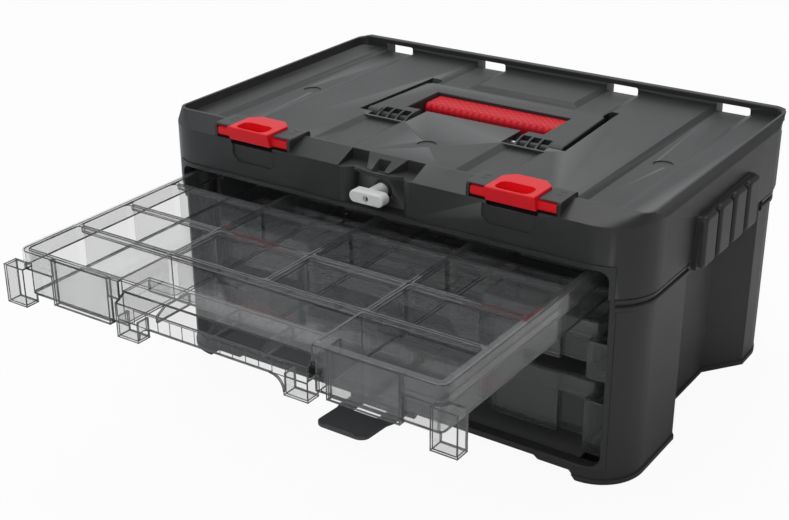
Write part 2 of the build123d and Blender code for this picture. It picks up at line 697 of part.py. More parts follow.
def well_plan():
    """The handle well's opening in the lid panel, less the tongue between the hinges."""
    ear_x = HINGE_OUTER_HALF + HANDLE_FRONT_GAP
    shoulder_y = HANDLE_AXIS_Y - HANDLE_THICKNESS / 2 - HANDLE_FRONT_GAP
    rear_x = HANDLE_REAR_HALF + HANDLE_SIDE_GAP
    thumb_y = well_rear_y + THUMB_DEPTH
    right = [
        (ear_x, well_front_y),
        (ear_x, shoulder_y),
        (HANDLE_FRONT_HALF + HANDLE_SIDE_GAP, shoulder_y),
        (rear_x, well_rear_y),
        (rear_x, thumb_y),
        (THUMB_INNER, thumb_y),
        (THUMB_INNER, well_rear_y),
    ]
    front_y = well_front_y - EXTRA
    tongue = [(TONGUE_HALF, front_y), (TONGUE_HALF, tongue_rear_y)]
    return polygon(mirrored(right)) - polygon(mirrored(tongue))


def back_lip():
    """The upstanding lip along the back, with a slanted end at each side."""
    right = [
        (lip_half, panel_z - WALL),
        (lip_half, rim_z),
        (lip_half - LIP_END_SLOPE, lip_top_z),
    ]
    lip = forward(polygon(mirrored(right)), lip_front_y, lip_front_y + LIP_THICKNESS)
    return fillet(lip.edges().filter_by(Axis.X).group_by(Axis.Z)[-1], LIP_ROUND)


def window_floor_z(y):
    """Height of a lip window's floor, which falls away towards the back."""
    return channel_z - WINDOW_FALL * (y - lip_front_y) / LIP_INSET


def window_liner(centre):
    """The wall under one window's sloping floor."""
    half = WINDOW_LENGTH / 2 + WALL
    rear_y = half_d - EXTRA
    points = [
        (lip_front_y, roof_z + EXTRA),
        (lip_front_y, window_floor_z(lip_front_y) - WALL),
        (rear_y, window_floor_z(rear_y) - WALL),
        (rear_y, roof_z + EXTRA),
    ]
    return across(points, centre - half, centre + half)


def lip_window(centre):
    """One slot through the lip, from the height of the channels' floors."""
    half = WINDOW_LENGTH / 2
    front_y, rear_y = lip_front_y - EXTRA, half_d + EXTRA
    shape = rounded(centre - half, centre + half, channel_z, channel_z + WINDOW_HEIGHT, WINDOW_RADIUS)
    points = [
        (lip_front_y, channel_z),
        (rear_y, window_floor_z(rear_y)),
        (rear_y, channel_z + WINDOW_RADIUS),
        (lip_front_y, channel_z + WINDOW_RADIUS),
    ]
    return forward(shape, front_y, rear_y) + across(points, centre - half, centre + half)


def latch_seat():
    """The two blocks on the chamfer that carry the right latch's wings."""
    inner = LATCH_HALF + LATCH_CLEARANCE
    outer = LATCH_WING_HALF + LATCH_CLEARANCE + SEAT_END
    rear_y = rim_front_y + SEAT_REAR
    seat = block(inner, outer, seat_front_y, rear_y, shoulder_z - WALL, seat_top_z)
    seat = fillet(seat.edges().filter_by(Axis.X).group_by(Axis.Z)[-1], SEAT_ROUND)
    return Pos(latch_x, 0, 0) * both_sides(seat)


def latch_cup():
    """The lining round the space in which the right latch's nose turns."""
    half = LATCH_HALF + LATCH_CLEARANCE + CUP_WALL
    bar = rod_x(latch_x - half, latch_x + half, latch_axis_y, latch_axis_z, LATCH_SWING + CUP_WALL)
    return bar & cover_outside()


def latch_room():
    """What the right latch needs free: its nose's swing and its wings' bores, open to the front."""
    side = LATCH_HALF + LATCH_CLEARANCE
    wing = LATCH_WING_HALF + LATCH_CLEARANCE
    low_z, top_z = latch_axis_z - wing_bore, latch_axis_z + wing_bore
    room = rod_x(latch_x - side, latch_x + side, latch_axis_y, latch_axis_z, LATCH_SWING)
    room += rod_x(latch_x - wing, latch_x + wing, latch_axis_y, latch_axis_z, wing_bore)
    front_y = -half_d - EXTRA
    return room + block(latch_x - wing, latch_x + wing, front_y, latch_axis_y, low_z, top_z)


def latch_pocket():
    """The shallow pocket in the skirt below the right latch."""
    inner, outer = latch_x - POCKET_SPAN[0], latch_x + POCKET_SPAN[1]
    top_z = shoulder_z - POCKET_TOP_DROP
    low_z = top_z - POCKET_HEIGHT
    points = [
        (inner, top_z),
        (outer, top_z),
        (outer, low_z + POCKET_CORNER),
        (outer - POCKET_CORNER, low_z),
        (inner + POCKET_CORNER, low_z),
        (inner, low_z + POCKET_CORNER),
    ]
    return forward(polygon(points), -half_d - EXTRA, -half_d + POCKET_DEPTH)


def side_grip():
    """The ribbed hand grip on the right of the skirt; its lower edge hangs over the recess."""
    back_x = half_w - EXTRA
    outer = half_w + GRIP_PROUD
    front_y = -half_d + GRIP_FRONT_INSET
    rear_y = front_y + GRIP_LENGTH
    low_z = seam_z - GRIP_HANG
    top_z = low_z + GRIP_HEIGHT_SIDE
    points = [
        (front_y, low_z),
        (rear_y, low_z),
        (rear_y - GRIP_TAPER, top_z),
        (front_y + GRIP_TAPER, top_z),
    ]
    grip = across(points, back_x, outer)
    pitch = GRIP_LENGTH / KNUCKLE_COUNT
    for index in range(KNUCKLE_COUNT):
        start = front_y + pitch * index + KNUCKLE_GAP / 2
        shape = rounded(start, start + pitch - KNUCKLE_GAP, low_z, top_z, KNUCKLE_CORNER)
        bump = along_x(shape, back_x, outer + KNUCKLE_PROUD)
        grip += fillet(bump.edges().filter_by(Plane.YZ).group_by(Axis.X)[-1], KNUCKLE_ROUND)
    return grip


def notch_cut():
    """The notch in the skirt's front, with rounded cheeks below the lug and none above it."""
    front_y = -half_d - EXTRA
    low_z = frame_top_z - EXTRA
    cut = block(-NOTCH_HALF, NOTCH_HALF, front_y, notch_y, low_z, lug_top_z)
    for side in (-1, 1):
        cut -= rod_z(side * NOTCH_HALF, notch_y, low_z, lug_top_z, NOTCH_DEPTH)
    return cut + block(-NOTCH_HALF, NOTCH_HALF, front_y, rim_front_y, lug_top_z, rim_z + EXTRA)


def notch_cheek():
    """The right cheek of the notch: a quarter tube, closed at the top, with a wall above it."""
    outer = NOTCH_HALF + WALL
    cheek = rod_z(NOTCH_HALF, notch_y, frame_top_z, lug_top_z, NOTCH_DEPTH)
    cheek -= rod_z(NOTCH_HALF, notch_y, frame_top_z - EXTRA, lug_low_z, NOTCH_DEPTH - WALL)
    cheek &= block(0, outer, -half_d, notch_y + WALL, frame_top_z, lug_top_z)
    wall = block(NOTCH_HALF, outer, -half_d, rim_front_y + EXTRA, lug_low_z, rim_z)
    return cheek + (wall & cover_outside())


def notch_wall():
    """The notch's back wall and cheeks."""
    half = NOTCH_HALF - NOTCH_DEPTH + WALL
    wall = block(-half, half, notch_y, notch_y + WALL, frame_top_z, lug_low_z + EXTRA)
    return wall + both_sides(notch_cheek())


def padlock_lug():
    """The bow-fronted lug across the notch with a wedge above it, and an eye for a padlock."""
    outer = NOTCH_HALF + WALL
    end_y = lug_front_y + LUG_END_INSET
    rear_y = rim_front_y + RIM_LAND
    edge = ThreePointArc((-outer, end_y), (0, lug_front_y), (outer, end_y))
    rear = Polyline((outer, end_y), (outer, rear_y), (-outer, rear_y), (-outer, end_y))
    lug = upright(make_face(Curve() + [edge, rear]), lug_low_z, lug_top_z)
    toe_y = lug_front_y + WEDGE_INSET
    profile = [
        (toe_y, lug_top_z - EXTRA),
        (toe_y, lug_top_z + WEDGE_TOE),
        (rim_front_y, rim_z),
        (rim_front_y + EXTRA, rim_z),
        (rim_front_y + EXTRA, lug_top_z - EXTRA),
    ]
    sides = polygon(mirrored([(WEDGE_HALF_FRONT, toe_y), (WEDGE_HALF_REAR, rim_front_y + EXTRA)]))
    lug += across(profile, -outer, outer) & upright(sides, lug_low_z, rim_z)
    eye_y = lug_front_y + LUG_EYE_INSET
    eye = Pos(0, eye_y, lug_top_z) * Box(*LUG_EYE, 2 * LUG_DROP + 2 * LUG_THICKNESS)
    return lug - eye


def frame_boss():
    """The boss above the opening that takes the right screw of the frame."""
    half = WEB_THICKNESS / 2
    top_z = frame_top_z + FRAME_SCREW_BITE + WALL
    front_y = -half_d + EXTRA
    boss = rod_z(FRAME_SCREW_X, frame_screw_y, frame_top_z, top_z, FRAME_BOSS_RADIUS)
    web = block(FRAME_SCREW_X - half, FRAME_SCREW_X + half, front_y, frame_screw_y, frame_top_z, top_z)
    hole_top = frame_top_z + FRAME_SCREW_BITE
    hole = rod_z(FRAME_SCREW_X, frame_screw_y, frame_top_z - EXTRA, hole_top, SMALL_SCREW_RADIUS)
    return boss + web - hole


def cover_column(x, y):
    """A screw column under the lid, with a web to the skirt."""
    side = 1 if x > 0 else -1
    half = WEB_THICKNESS / 2
    web = block(x, side * (half_w - EXTRA), y - half, y + half, seam_z + WALL, column_top_z)
    return rod_z(x, y, seam_z, column_top_z, COLUMN_RADIUS) + web


def handle_pin_span(side):
    """Where a handle pin starts and ends along X."""
    inner = TONGUE_HALF - WELL_WALL
    outer = HANDLE_FRONT_HALF + HANDLE_SIDE_GAP + WELL_WALL - PIN_LAND
    return side * inner, side * outer


def handle_pin(side):
    """One of the two pins that the handle turns on."""
    return rod_x(*handle_pin_span(side), HANDLE_AXIS_Y, handle_axis_z, PIN_RADIUS)


def case_cover():
    """Upper shell: skirt, chamfer, lid panel, back lip, latch seats, hand grips and handle well."""
    shell = cover_outside() - cover_inside() - panel_recess()
    shell += back_lip()
    for centre in WINDOW_CENTRES:
        shell += both_sides(window_liner(centre))
    walls = offset(well_plan(), WELL_WALL, kind=Kind.INTERSECTION)
    shell += upright(walls, well_floor_z - WELL_WALL, channel_z - EXTRA)
    for cut in channels() + gate_marks():
        shell -= cut
    for centre in WINDOW_CENTRES:
        shell -= both_sides(lip_window(centre))
    shell -= upright(well_plan(), well_floor_z, rim_z)
    shell += both_sides(latch_seat() + latch_cup())
    shell -= both_sides(latch_room())
    shell -= both_sides(latch_pocket())
    shell += both_sides(side_grip())
    shell -= notch_cut()
    shell += notch_wall() + padlock_lug()
    shell += both_sides(frame_boss())
    shell -= block(-frame_half, frame_half, -half_d - EXTRA, frame_rear_y, seam_z - EXTRA, frame_top_z)
    shell -= rod_y(0, notch_y - EXTRA, notch_y + WALL + EXTRA, lock_z, SPINDLE_RADIUS + SPINDLE_CLEARANCE)
    for x, y in column_places:
        shell += cover_column(x, y)
        shell -= rod_z(x, y, seam_z - EXTRA, seam_z + SCREW_BITE, SCREW_RADIUS)
    for side in (-1, 1):
        shell -= handle_pin(side)
    return shell


# ---------------------------------------------------------------- front frame
def front_frame():
    """The frame that lines the drawer opening; its face stands proud of each shell alike."""
    outer = block(-frame_half, frame_half, frame_front_y, frame_rear_y, frame_low_z, frame_top_z)
    inner = rounded(-opening_half, opening_half, OPENING_LOW_Z, opening_top_z, OPENING_RADIUS)
    ring = outer - forward(inner, frame_front_y - EXTRA, frame_rear_y + EXTRA)
    upper_deep = half_d + FRAME_PROUD
    lower_deep = body_half_d + FRAME_PROUD
    upper = plan(half_w + FRAME_PROUD, -upper_deep, upper_deep, CORNER_RADIUS + FRAME_PROUD)
    lower = plan(body_half_w + FRAME_PROUD, -lower_deep, lower_deep, body_radius + FRAME_PROUD)
    ring &= upright(upper, seam_z, frame_top_z) + upright(lower, frame_low_z, seam_z)
    low_z = opening_top_z - EXTRA
    head_top = opening_top_z + SMALL_HEAD_HEIGHT
    for side in (-1, 1):
        x = side * FRAME_SCREW_X
        ring -= rod_z(x, frame_screw_y, low_z, frame_top_z + EXTRA, SMALL_SCREW_RADIUS + SCREW_CLEARANCE)
        ring -= rod_z(x, frame_screw_y, low_z, head_top, SMALL_HEAD_RADIUS + SCREW_CLEARANCE)
    return ring


def frame_screws():
    """The two screws up through the frame's top bar; their heads are sunk in it."""
    screws = []
    head_top = opening_top_z + SMALL_HEAD_HEIGHT
    for side in (-1, 1):
        x = side * FRAME_SCREW_X
        shank = rod_z(x, frame_screw_y, head_top, frame_top_z + FRAME_SCREW_BITE, SMALL_SCREW_RADIUS)
        screws.append(shank + rod_z(x, frame_screw_y, opening_top_z, head_top, SMALL_HEAD_RADIUS))
    return screws


# ---------------------------------------------------------------- runners
def runner(side):
    """One inner side panel with a ledge for each drawer's rim band."""
    front_y, rear_y = runner_front_y, runner_rear_y
    panel = block(runner_inner_x, runner_x, front_y, rear_y, floor_z, top_rim_z)
    for rim in rim_heights:
        top = rim - BAND_HEIGHT - RUN_CLEARANCE
        panel += block(ledge_inner_x, runner_inner_x + EXTRA, front_y, rear_y, top - LEDGE_THICKNESS, top)
    for y, z in runner_screw_places:
        panel -= rod_x(runner_inner_x - EXTRA, runner_x + EXTRA, y, z, SMALL_SCREW_RADIUS + SCREW_CLEARANCE)
    return panel if side > 0 else mirror(panel, about=Plane.YZ)


def runner_screws():
    """The small screws that hold both runner panels."""
    screws = []
    head_x = runner_inner_x - SMALL_HEAD_HEIGHT
    for side in (-1, 1):
        for y, z in runner_screw_places:
            shank = rod_x(side * runner_inner_x, side * (runner_x + SMALL_BITE), y, z, SMALL_SCREW_RADIUS)
            screws.append(shank + rod_x(side * head_x, side * runner_inner_x, y, z, SMALL_HEAD_RADIUS))
    return screws


def cover_screws():
    """The four long screws, driven from below up the corner columns."""
    screws = []
    head_z = seam_z - SCREW_GRIP
    low_z = head_z - SCREW_HEAD_HEIGHT
    width, length, depth = CROSS_SLOT
    for x, y in column_places:
        head = rod_z(x, y, low_z, head_z, SCREW_HEAD_RADIUS)
        head -= Pos(x, y, low_z) * Box(width, length, 2 * depth)
        head -= Pos(x, y, low_z) * Box(length, width, 2 * depth)
        screws.append(head + rod_z(x, y, head_z, seam_z + SCREW_BITE, SCREW_RADIUS))
    return screws


# ---------------------------------------------------------------- drawers
def hollow_foot(inner, outer, low_z, top_z, ceiling_z):
    """A foot at a drawer's front, hollow and open towards the back."""
    wall = FOOT_WALL
    rear_y = tray_front_y + FOOT_DEPTH
    foot = block(inner, outer, tray_front_y, rear_y, low_z, top_z)
    hollow = (inner + wall, outer - wall, tray_front_y + wall, rear_y + EXTRA, low_z + wall, ceiling_z)
    return foot - block(*hollow)


def tray_foot(rim_z, foot_drop):
    """The hollow corner foot on the right of a tray's front."""
    inner = foot_outer_half - FOOT_WIDTH
    top_z = rim_z - BAND_HEIGHT + FOOT_LAP
    return hollow_foot(inner, foot_outer_half, rim_z - foot_drop, top_z, top_z - FOOT_WALL)


def tray_band(rim_z):
    """The rim band: a flange all round the top with a skirt at its outer edge."""
    front = tray_front_y + BAND_SETBACK
    wall = BAND_WALL
    low_z = rim_z - BAND_HEIGHT
    band = upright(plan(tray_rim_half, front, tray_rear_y, BAND_RADIUS), low_z, rim_z)
    band = fillet(band.edges().group_by(Axis.Z)[-1], BAND_ROUND)
    inner = plan(tray_rim_half - wall, front + wall, tray_rear_y - wall, BAND_RADIUS - wall)
    return band - upright(inner, low_z - EXTRA, rim_z - wall)


def tray_fascia(rim_z, low_z):
    """The raised front panel right of the pull, as a hollow box open below."""
    front = tray_front_y + BAND_SETBACK
    rear = front + BAND_DEPTH
    outer = fascia_inner + FASCIA_WIDTH
    wall = BAND_WALL
    panel = block(fascia_inner, outer, front, rear + EXTRA, low_z, rim_z - FASCIA_DROP)
    hollow = (fascia_inner + wall, outer - wall, front + wall, rear, low_z - EXTRA, rim_z - wall)
    return panel - block(*hollow)


def cell(x0, x1, y0, y1, low_z, rim_z):
    """The space of one compartment."""
    return upright(rounded(x0, x1, y0, y1, CELL_RADIUS), low_z + TRAY_FLOOR, rim_z + EXTRA)


def cells(rim_z, low_z, columns, rows):
    """The compartments between the lines of columns and the lines of rows."""
    spaces = []
    half = DIVIDER / 2
    for x0, x1 in zip(columns, columns[1:]):
        left = x0 + (TRAY_WALL if x0 == columns[0] else half)
        right = x1 - (TRAY_WALL if x1 == columns[-1] else half)
        for y0, y1 in zip(rows, rows[1:]):
            far = y1 - (TRAY_WALL if y1 == rows[-1] else half)
            spaces.append(cell(left, right, y0 + half, far, low_z, rim_z))
    return spaces


def front_bins(rim_z, low_z):
    """The two compartments beside the pull."""
    near = tray_front_y + BAND_SETBACK + BAND_DEPTH + TRAY_WALL
    far = tray_front_y + FRONT_ROW - DIVIDER / 2
    inner, outer = PULL_HALF + TRAY_WALL, tray_half - TRAY_WALL
    return [cell(inner, outer, near, far, low_z, rim_z), cell(-outer, -inner, near, far, low_z, rim_z)]


def divider_grooves(rim_z, columns, rows):
    """The groove along the top of every divider, which leaves two thin lips."""
    span = (rim_z - DIVIDER_GROOVE_DEPTH, rim_z + EXTRA)
    half = DIVIDER_GROOVE / 2
    end = TRAY_WALL + DIVIDER
    cuts = []
    for x in columns[1:-1]:
        cuts.append(block(x - half, x + half, rows[0] + end, rows[-1] - end, *span))
    for y in rows[:-1]:
        cuts.append(block(columns[0] + end, columns[-1] - end, y - half, y + half, *span))
    return cuts


def tray(rim_z, body_height, foot_drop, columns, inner_rows):
    """One drawer's tray, shut: compartments, rim band, corner feet, fascias and a gap for the pull."""
    low_z = rim_z - body_height
    wall_y = tray_front_y + BAND_SETBACK + BAND_DEPTH
    cross_y = tray_front_y + FRONT_ROW
    rear_y = tray_rear_y - BAND_WALL
    body = upright(plan(tray_half, wall_y, rear_y, TRAY_RADIUS), low_z, rim_z)
    body = chamfer(body.edges().group_by(Axis.Z)[0], TRAY_CHAMFER)
    body += tray_band(rim_z)
    body += both_sides(tray_foot(rim_z, foot_drop) + tray_fascia(rim_z, low_z))
    gap_rear = cross_y - DIVIDER / 2
    body -= block(-PULL_HALF, PULL_HALF, tray_front_y - EXTRA, gap_rear, low_z - EXTRA, rim_z + EXTRA)
    lines = [-tray_half, *columns, tray_half]
    rows = [cross_y, *inner_rows, rear_y]
    for space in cells(rim_z, low_z, lines, rows) + front_bins(rim_z, low_z):
        body -= space
    inside = tray_half - TRAY_WALL
    near, far = cross_y + DIVIDER, rear_y - TRAY_WALL
    body -= block(-inside, inside, near, far, rim_z - DIVIDER_DROP, rim_z + EXTRA)
    for groove in divider_grooves(rim_z, lines, rows):
        body -= groove
    return body


def pull_outline(rim_z):
    """The outside of a pull in section, as (y, z): front, sloping brow, top and rear wall."""
    top_z = rim_z - PULL_TOP_DROP
    rear = tray_front_y + PULL_DEPTH
    return [
        (tray_front_y, rim_z - PULL_LOW_DROP),
        (tray_front_y, top_z - PULL_BROW_DROP),
        (tray_front_y + PULL_BROW, top_z),
        (rear, top_z),
    ]


def pull(rim_z):
    """One drawer's pull, shut: a sloping hollow bar across the gap, with a foot at each end."""
    front, rear = tray_front_y, tray_front_y + PULL_DEPTH
    top_z = rim_z - PULL_TOP_DROP
    brow_z = top_z - PULL_BROW_DROP
    low_z = rim_z - PULL_LOW_DROP
    back_z = top_z - PULL_BACK_DEPTH
    wall = PULL_WALL
    inside = [
        (rear, back_z),
        (rear - wall, back_z),
        (rear - wall, top_z - wall),
        (front + PULL_BROW + wall / 4, top_z - wall),
        (front + wall, brow_z - wall / 2),
        (front + wall, low_z),
    ]
    bar = across(pull_outline(rim_z) + inside, -PULL_HALF, PULL_HALF)
    for x in PULL_RIBS:
        slab = across(pull_outline(rim_z) + [(rear, low_z)], x - wall / 2, x + wall / 2)
        bar += slab & block(x - wall, x + wall, front + wall / 2, rear - wall / 2, back_z, top_z - wall / 2)
    inner = PULL_HALF - PULL_FOOT_WIDTH
    top = low_z + PULL_FOOT_LAP
    foot = hollow_foot(inner, PULL_HALF, rim_z - PULL_FOOT_DROP, top, top + EXTRA)
    arch = PULL_ARCH_RADIUS
    brace = block(inner - arch, inner + wall / 2, front, front + wall, low_z - arch, low_z + wall / 2)
    brace -= rod_y(inner - arch, front - EXTRA, front + wall + EXTRA, low_z - arch, arch - PULL_ARCH_LAND)
    return bar + both_sides(foot + brace)


# ---------------------------------------------------------------- carry handle
def handle_plan():
    """The handle seen from above: a bow with two wide hinge ends."""
    outside = [
        (HANDLE_FRONT_HALF, HANDLE_AXIS_Y),
        (HANDLE_REAR_HALF, HANDLE_REAR_Y - HANDLE_CORNER),
        (HANDLE_REAR_HALF - HANDLE_CORNER, HANDLE_REAR_Y),
    ]
    hinge_rear_y = HANDLE_AXIS_Y + HINGE_LENGTH
    inside = [
        (HINGE_INNER_HALF, HANDLE_AXIS_Y - EXTRA),
        (HINGE_INNER_HALF, hinge_rear_y),
        (ARM_INNER_HALF, hinge_rear_y),
        (ARM_INNER_HALF, handle_bar_y),
    ]
    return polygon(mirrored(outside)) - polygon(mirrored(inside))


def grip_middle_z():
    """Height of the grip's middle line."""
    return handle_z - GRIP_TOP_DROP - GRIP_HEIGHT / 2


def grip_core():
    """The part of the handle's frame that the soft grip is moulded round."""
    half = GRIP_HALF - CORE_END
    low_z = grip_middle_z() - CORE_HEIGHT / 2
    return block(-half, half, handle_bar_y - CORE_DEPTH, handle_bar_y, low_z, low_z + CORE_HEIGHT)


def hinge_ear():
    """The right hinge ear: it reaches forward of the axis under a rounded top."""
    top_y = HANDLE_AXIS_Y + HINGE_POCKET_BACK
    edge_z = handle_z - EAR_FALL
    middle = ((top_y + hinge_front_y) / 2, handle_z - EAR_FALL / 4)
    curve = ThreePointArc((top_y, handle_z), middle, (hinge_front_y, edge_z))
    low_z = edge_z - EAR_HEIGHT
    base = Polyline((hinge_front_y, edge_z), (hinge_front_y, low_z), (top_y, low_z), (top_y, handle_z))
    ear = along_x(make_face(Curve() + [curve, base]), HINGE_INNER_HALF, HINGE_OUTER_HALF)
    width = (HINGE_OUTER_HALF - HINGE_INNER_HALF - HINGE_WEB) / HINGE_POCKETS
    for index in range(HINGE_POCKETS):
        start = HINGE_INNER_HALF + HINGE_WEB + width * index
        end = start + width - HINGE_WEB
        tube = rod_x(start, end, HANDLE_AXIS_Y, handle_axis_z, PIN_RADIUS + HINGE_TUBE)
        floor = low_z + HINGE_FLOOR
        ear -= block(start, end, hinge_front_y - EXTRA, top_y, floor, handle_z + EXTRA) - tube
    return ear


def handle_frame():
    """The handle's rigid frame: bow, hinge ends with pockets, and the core inside the grip."""
    bow = upright(handle_plan(), handle_low_z, handle_z)
    bow = chamfer(bow.edges().group_by(Axis.Z)[-1], HANDLE_CHAMFER)
    top_y = HANDLE_AXIS_Y + HINGE_POCKET_BACK
    room = block(0, HINGE_OUTER_HALF, HANDLE_AXIS_Y - EXTRA, top_y, handle_low_z - EXTRA, handle_z + EXTRA)
    bow -= both_sides(room)
    span = (HINGE_OUTER_HALF, HANDLE_FRONT_HALF)
    barrel = rod_x(*span, HANDLE_AXIS_Y, handle_axis_z, HANDLE_THICKNESS / 2)
    frame = bow + both_sides(hinge_ear() + barrel)
    low_z, top_z = grip_middle_z() - GRIP_HEIGHT / 2 + GRIP_BACKING_LIFT, handle_low_z + EXTRA
    frame += block(-GRIP_HALF, GRIP_HALF, handle_bar_y, handle_bar_y + GRIP_BACKING, low_z, top_z)
    frame += grip_core()
    for side in (-1, 1):
        span = (side * (HINGE_INNER_HALF - EXTRA), side * (HANDLE_FRONT_HALF + EXTRA))
        frame -= rod_x(*span, HANDLE_AXIS_Y, handle_axis_z, PIN_RADIUS + PIN_CLEARANCE)
    return frame


def handle_grip():
    """The soft grip, moulded round the core."""
    top_z = handle_z - GRIP_TOP_DROP
    grip = block(-GRIP_HALF, GRIP_HALF, handle_bar_y - GRIP_DEPTH, handle_bar_y, top_z - GRIP_HEIGHT, top_z)
    grip = fillet(grip.edges().filter_by(Axis.X).group_by(Axis.Y)[0], GRIP_ROUND)
    return grip - grip_core()


# ---------------------------------------------------------------- stacking latches
def latch(x):
    """One latch: a plate with a finger eye over the chamfer, turning on two wings."""
    slope = RIM_RISE / RIM_FRONT_INSET
    half = WING_HALF_HEIGHT
    bar_rear_y = latch_axis_y + half
    under_z = shoulder_z + slope * (bar_rear_y + half_d) + LATCH_LIFT
    outline = [
        (latch_front_y, latch_top_z),
        (latch_rear_y, latch_top_z),
        (latch_rear_y, rim_z + LATCH_LIFT),
        (rim_front_y, rim_z + LATCH_LIFT),
        (bar_rear_y, under_z),
        (bar_rear_y, latch_axis_z - half + WING_ROUND),
        (bar_rear_y - WING_ROUND, latch_axis_z - half),
        (latch_front_y + LATCH_NOSE_FALL, nose_low_z),
    ]
    plate = across(outline, -LATCH_HALF, LATCH_HALF)
    corners = [
        (LATCH_HALF, latch_front_y - EXTRA),
        (LATCH_HALF, latch_rear_y - LATCH_CORNER),
        (LATCH_HALF - LATCH_CORNER, latch_rear_y),
    ]
    plate &= upright(polygon(mirrored(corners)), nose_low_z - LATCH_NOSE_HEIGHT, latch_top_z)
    plate = fillet(plate.faces().sort_by(Axis.Z)[-1].edges(), LATCH_ROUND)
    near = latch_front_y + LATCH_EYE_WALL
    eye = rounded(-LATCH_EYE_HALF, LATCH_EYE_HALF, near, near + LATCH_EYE_DEPTH, LATCH_EYE_ROUND)
    plate -= upright(eye, latch_top_z - LATCH_EYE_DROP, latch_top_z + EXTRA)
    section = rounded(
        latch_axis_y - half, latch_axis_y + half, latch_axis_z - half, latch_axis_z + half, WING_ROUND
    )
    wing = along_x(section, LATCH_HALF - EXTRA, LATCH_WING_HALF)
    return Pos(x, 0, 0) * (plate + both_sides(wing))


# ---------------------------------------------------------------- lock
def lock_knob():
    """The white lock knob: a rounded wing on a hub, with its spindle through the notch's wall."""
    front_y = knob_back_y - KNOB_DEPTH
    half = KNOB_HEIGHT / 2
    wing = rounded(-KNOB_HALF_LENGTH, KNOB_HALF_LENGTH, lock_z - half, lock_z + half, KNOB_CORNER)
    knob = forward(wing, front_y, knob_back_y)
    knob = fillet(knob.edges().group_by(Axis.Y)[0], KNOB_ROUND)
    knob += rod_y(0, knob_back_y - EXTRA, notch_y, lock_z, HUB_RADIUS)
    knob += rod_y(0, notch_y - EXTRA, notch_y + WALL, lock_z, SPINDLE_RADIUS)
    knob -= rod_y(0, front_y - EXTRA, front_y + KNOB_EYE_DEPTH, lock_z, KNOB_EYE_RADIUS)
    return knob - rod_y(0, lock_screw_y, notch_y + WALL + EXTRA, lock_z, SMALL_SCREW_RADIUS)


def lock_cam():
    """The tongue behind the notch's wall that the knob turns."""
    back_y = notch_y + WALL
    half = CAM_WIDTH / 2
    shape = rounded(-half, CAM_LENGTH, lock_z - half, lock_z + half, CAM_ROUND)
    plate = forward(shape, back_y, back_y + CAM_THICKNESS)
    return plate - rod_y(0, back_y - EXTRA, back_y + CAM_THICKNESS + EXTRA, lock_z, SMALL_SCREW_RADIUS)


def lock_screw():
    """The screw that holds the cam on the knob's spindle."""
    back_y = notch_y + WALL + CAM_THICKNESS
    head = rod_y(0, back_y, back_y + SMALL_HEAD_HEIGHT, lock_z, SMALL_HEAD_RADIUS)
    return head + rod_y(0, lock_screw_y, back_y, lock_z, SMALL_SCREW_RADIUS)


# ---------------------------------------------------------------- release tab
def tab_outline():
    """The release tab seen from above: arms at the root, narrowing to a tip with round corners."""
    right = [
        (TAB_TIP_HALF, tab_tip_y),
        (TAB_TIP_HALF, tab_neck_y),
        (TAB_ROOT_HALF, tab_neck_y + TAB_TAPER),
        (TAB_ROOT_HALF, tab_axis_y),
    ]
    outline = polygon(mirrored(right))
    return fillet(outline.vertices().group_by(Axis.Y)[0], TAB_CORNER)


def release_tab():
    """The tab under the front edge: two arms from a knuckle, and a broad tip with a rolled edge."""
    half = TAB_THICKNESS / 2
    root_y = tab_axis_y - 2 * TAB_KNUCKLE_RADIUS
    knee_z = tab_axis_z + TAB_KNEE
    slope = [
        (tab_axis_y, tab_axis_z - half),
        (tab_axis_y, tab_axis_z + half),
        (root_y, knee_z + half),
        (tab_tip_y, tab_tip_z + half),
        (tab_tip_y, tab_tip_z - half),
        (root_y, knee_z - half),
    ]
    top_z = tab_tip_z + TAB_THICKNESS
    plate = across(slope, -TAB_ROOT_HALF, TAB_ROOT_HALF) & upright(tab_outline(), 0, top_z)
    near, far = tab_neck_y + TAB_WINDOW_GAP, root_y - TAB_WINDOW_GAP / 2
    plate -= block(-TAB_WINDOW_HALF, TAB_WINDOW_HALF, near, far, 0, top_z)
    roll_half = TAB_TIP_HALF - TAB_ROLL_INSET
    roll = rod_x(-roll_half, roll_half, tab_tip_y + TAB_ROLL_RADIUS, tab_tip_z, TAB_ROLL_RADIUS)
    knuckle = rod_x(-TAB_ROOT_HALF, TAB_ROOT_HALF, tab_axis_y, tab_axis_z, TAB_KNUCKLE_RADIUS)
    end = TAB_ROOT_HALF + EXTRA
    return plate + knuckle + roll - rod_x(-end, end, tab_axis_y, tab_axis_z, TAB_PIN_RADIUS + PIN_CLEARANCE)


def tab_pin():
    """The pin of the release tab, held in the body's ears."""
    half = TAB_ROOT_HALF + TAB_SIDE_GAP + TAB_EAR
    return rod_x(-half, half, tab_axis_y, tab_axis_z, TAB_PIN_RADIUS)


# ---------------------------------------------------------------- write every piece
def pulled_out(shape):
    """A piece of the top drawer, at the place it has with the drawer open."""
    return Pos(0, -TRAVEL, 0) * shape


def write(name, shape):
    """Writes one node's solids to its own file."""
    solids = shape if isinstance(shape, list) else shape.solids()
    pieces = [Solid(s.solid().wrapped) for s in solids]
    export_step(Compound(label=name, children=pieces), f"parts/{name}.step")


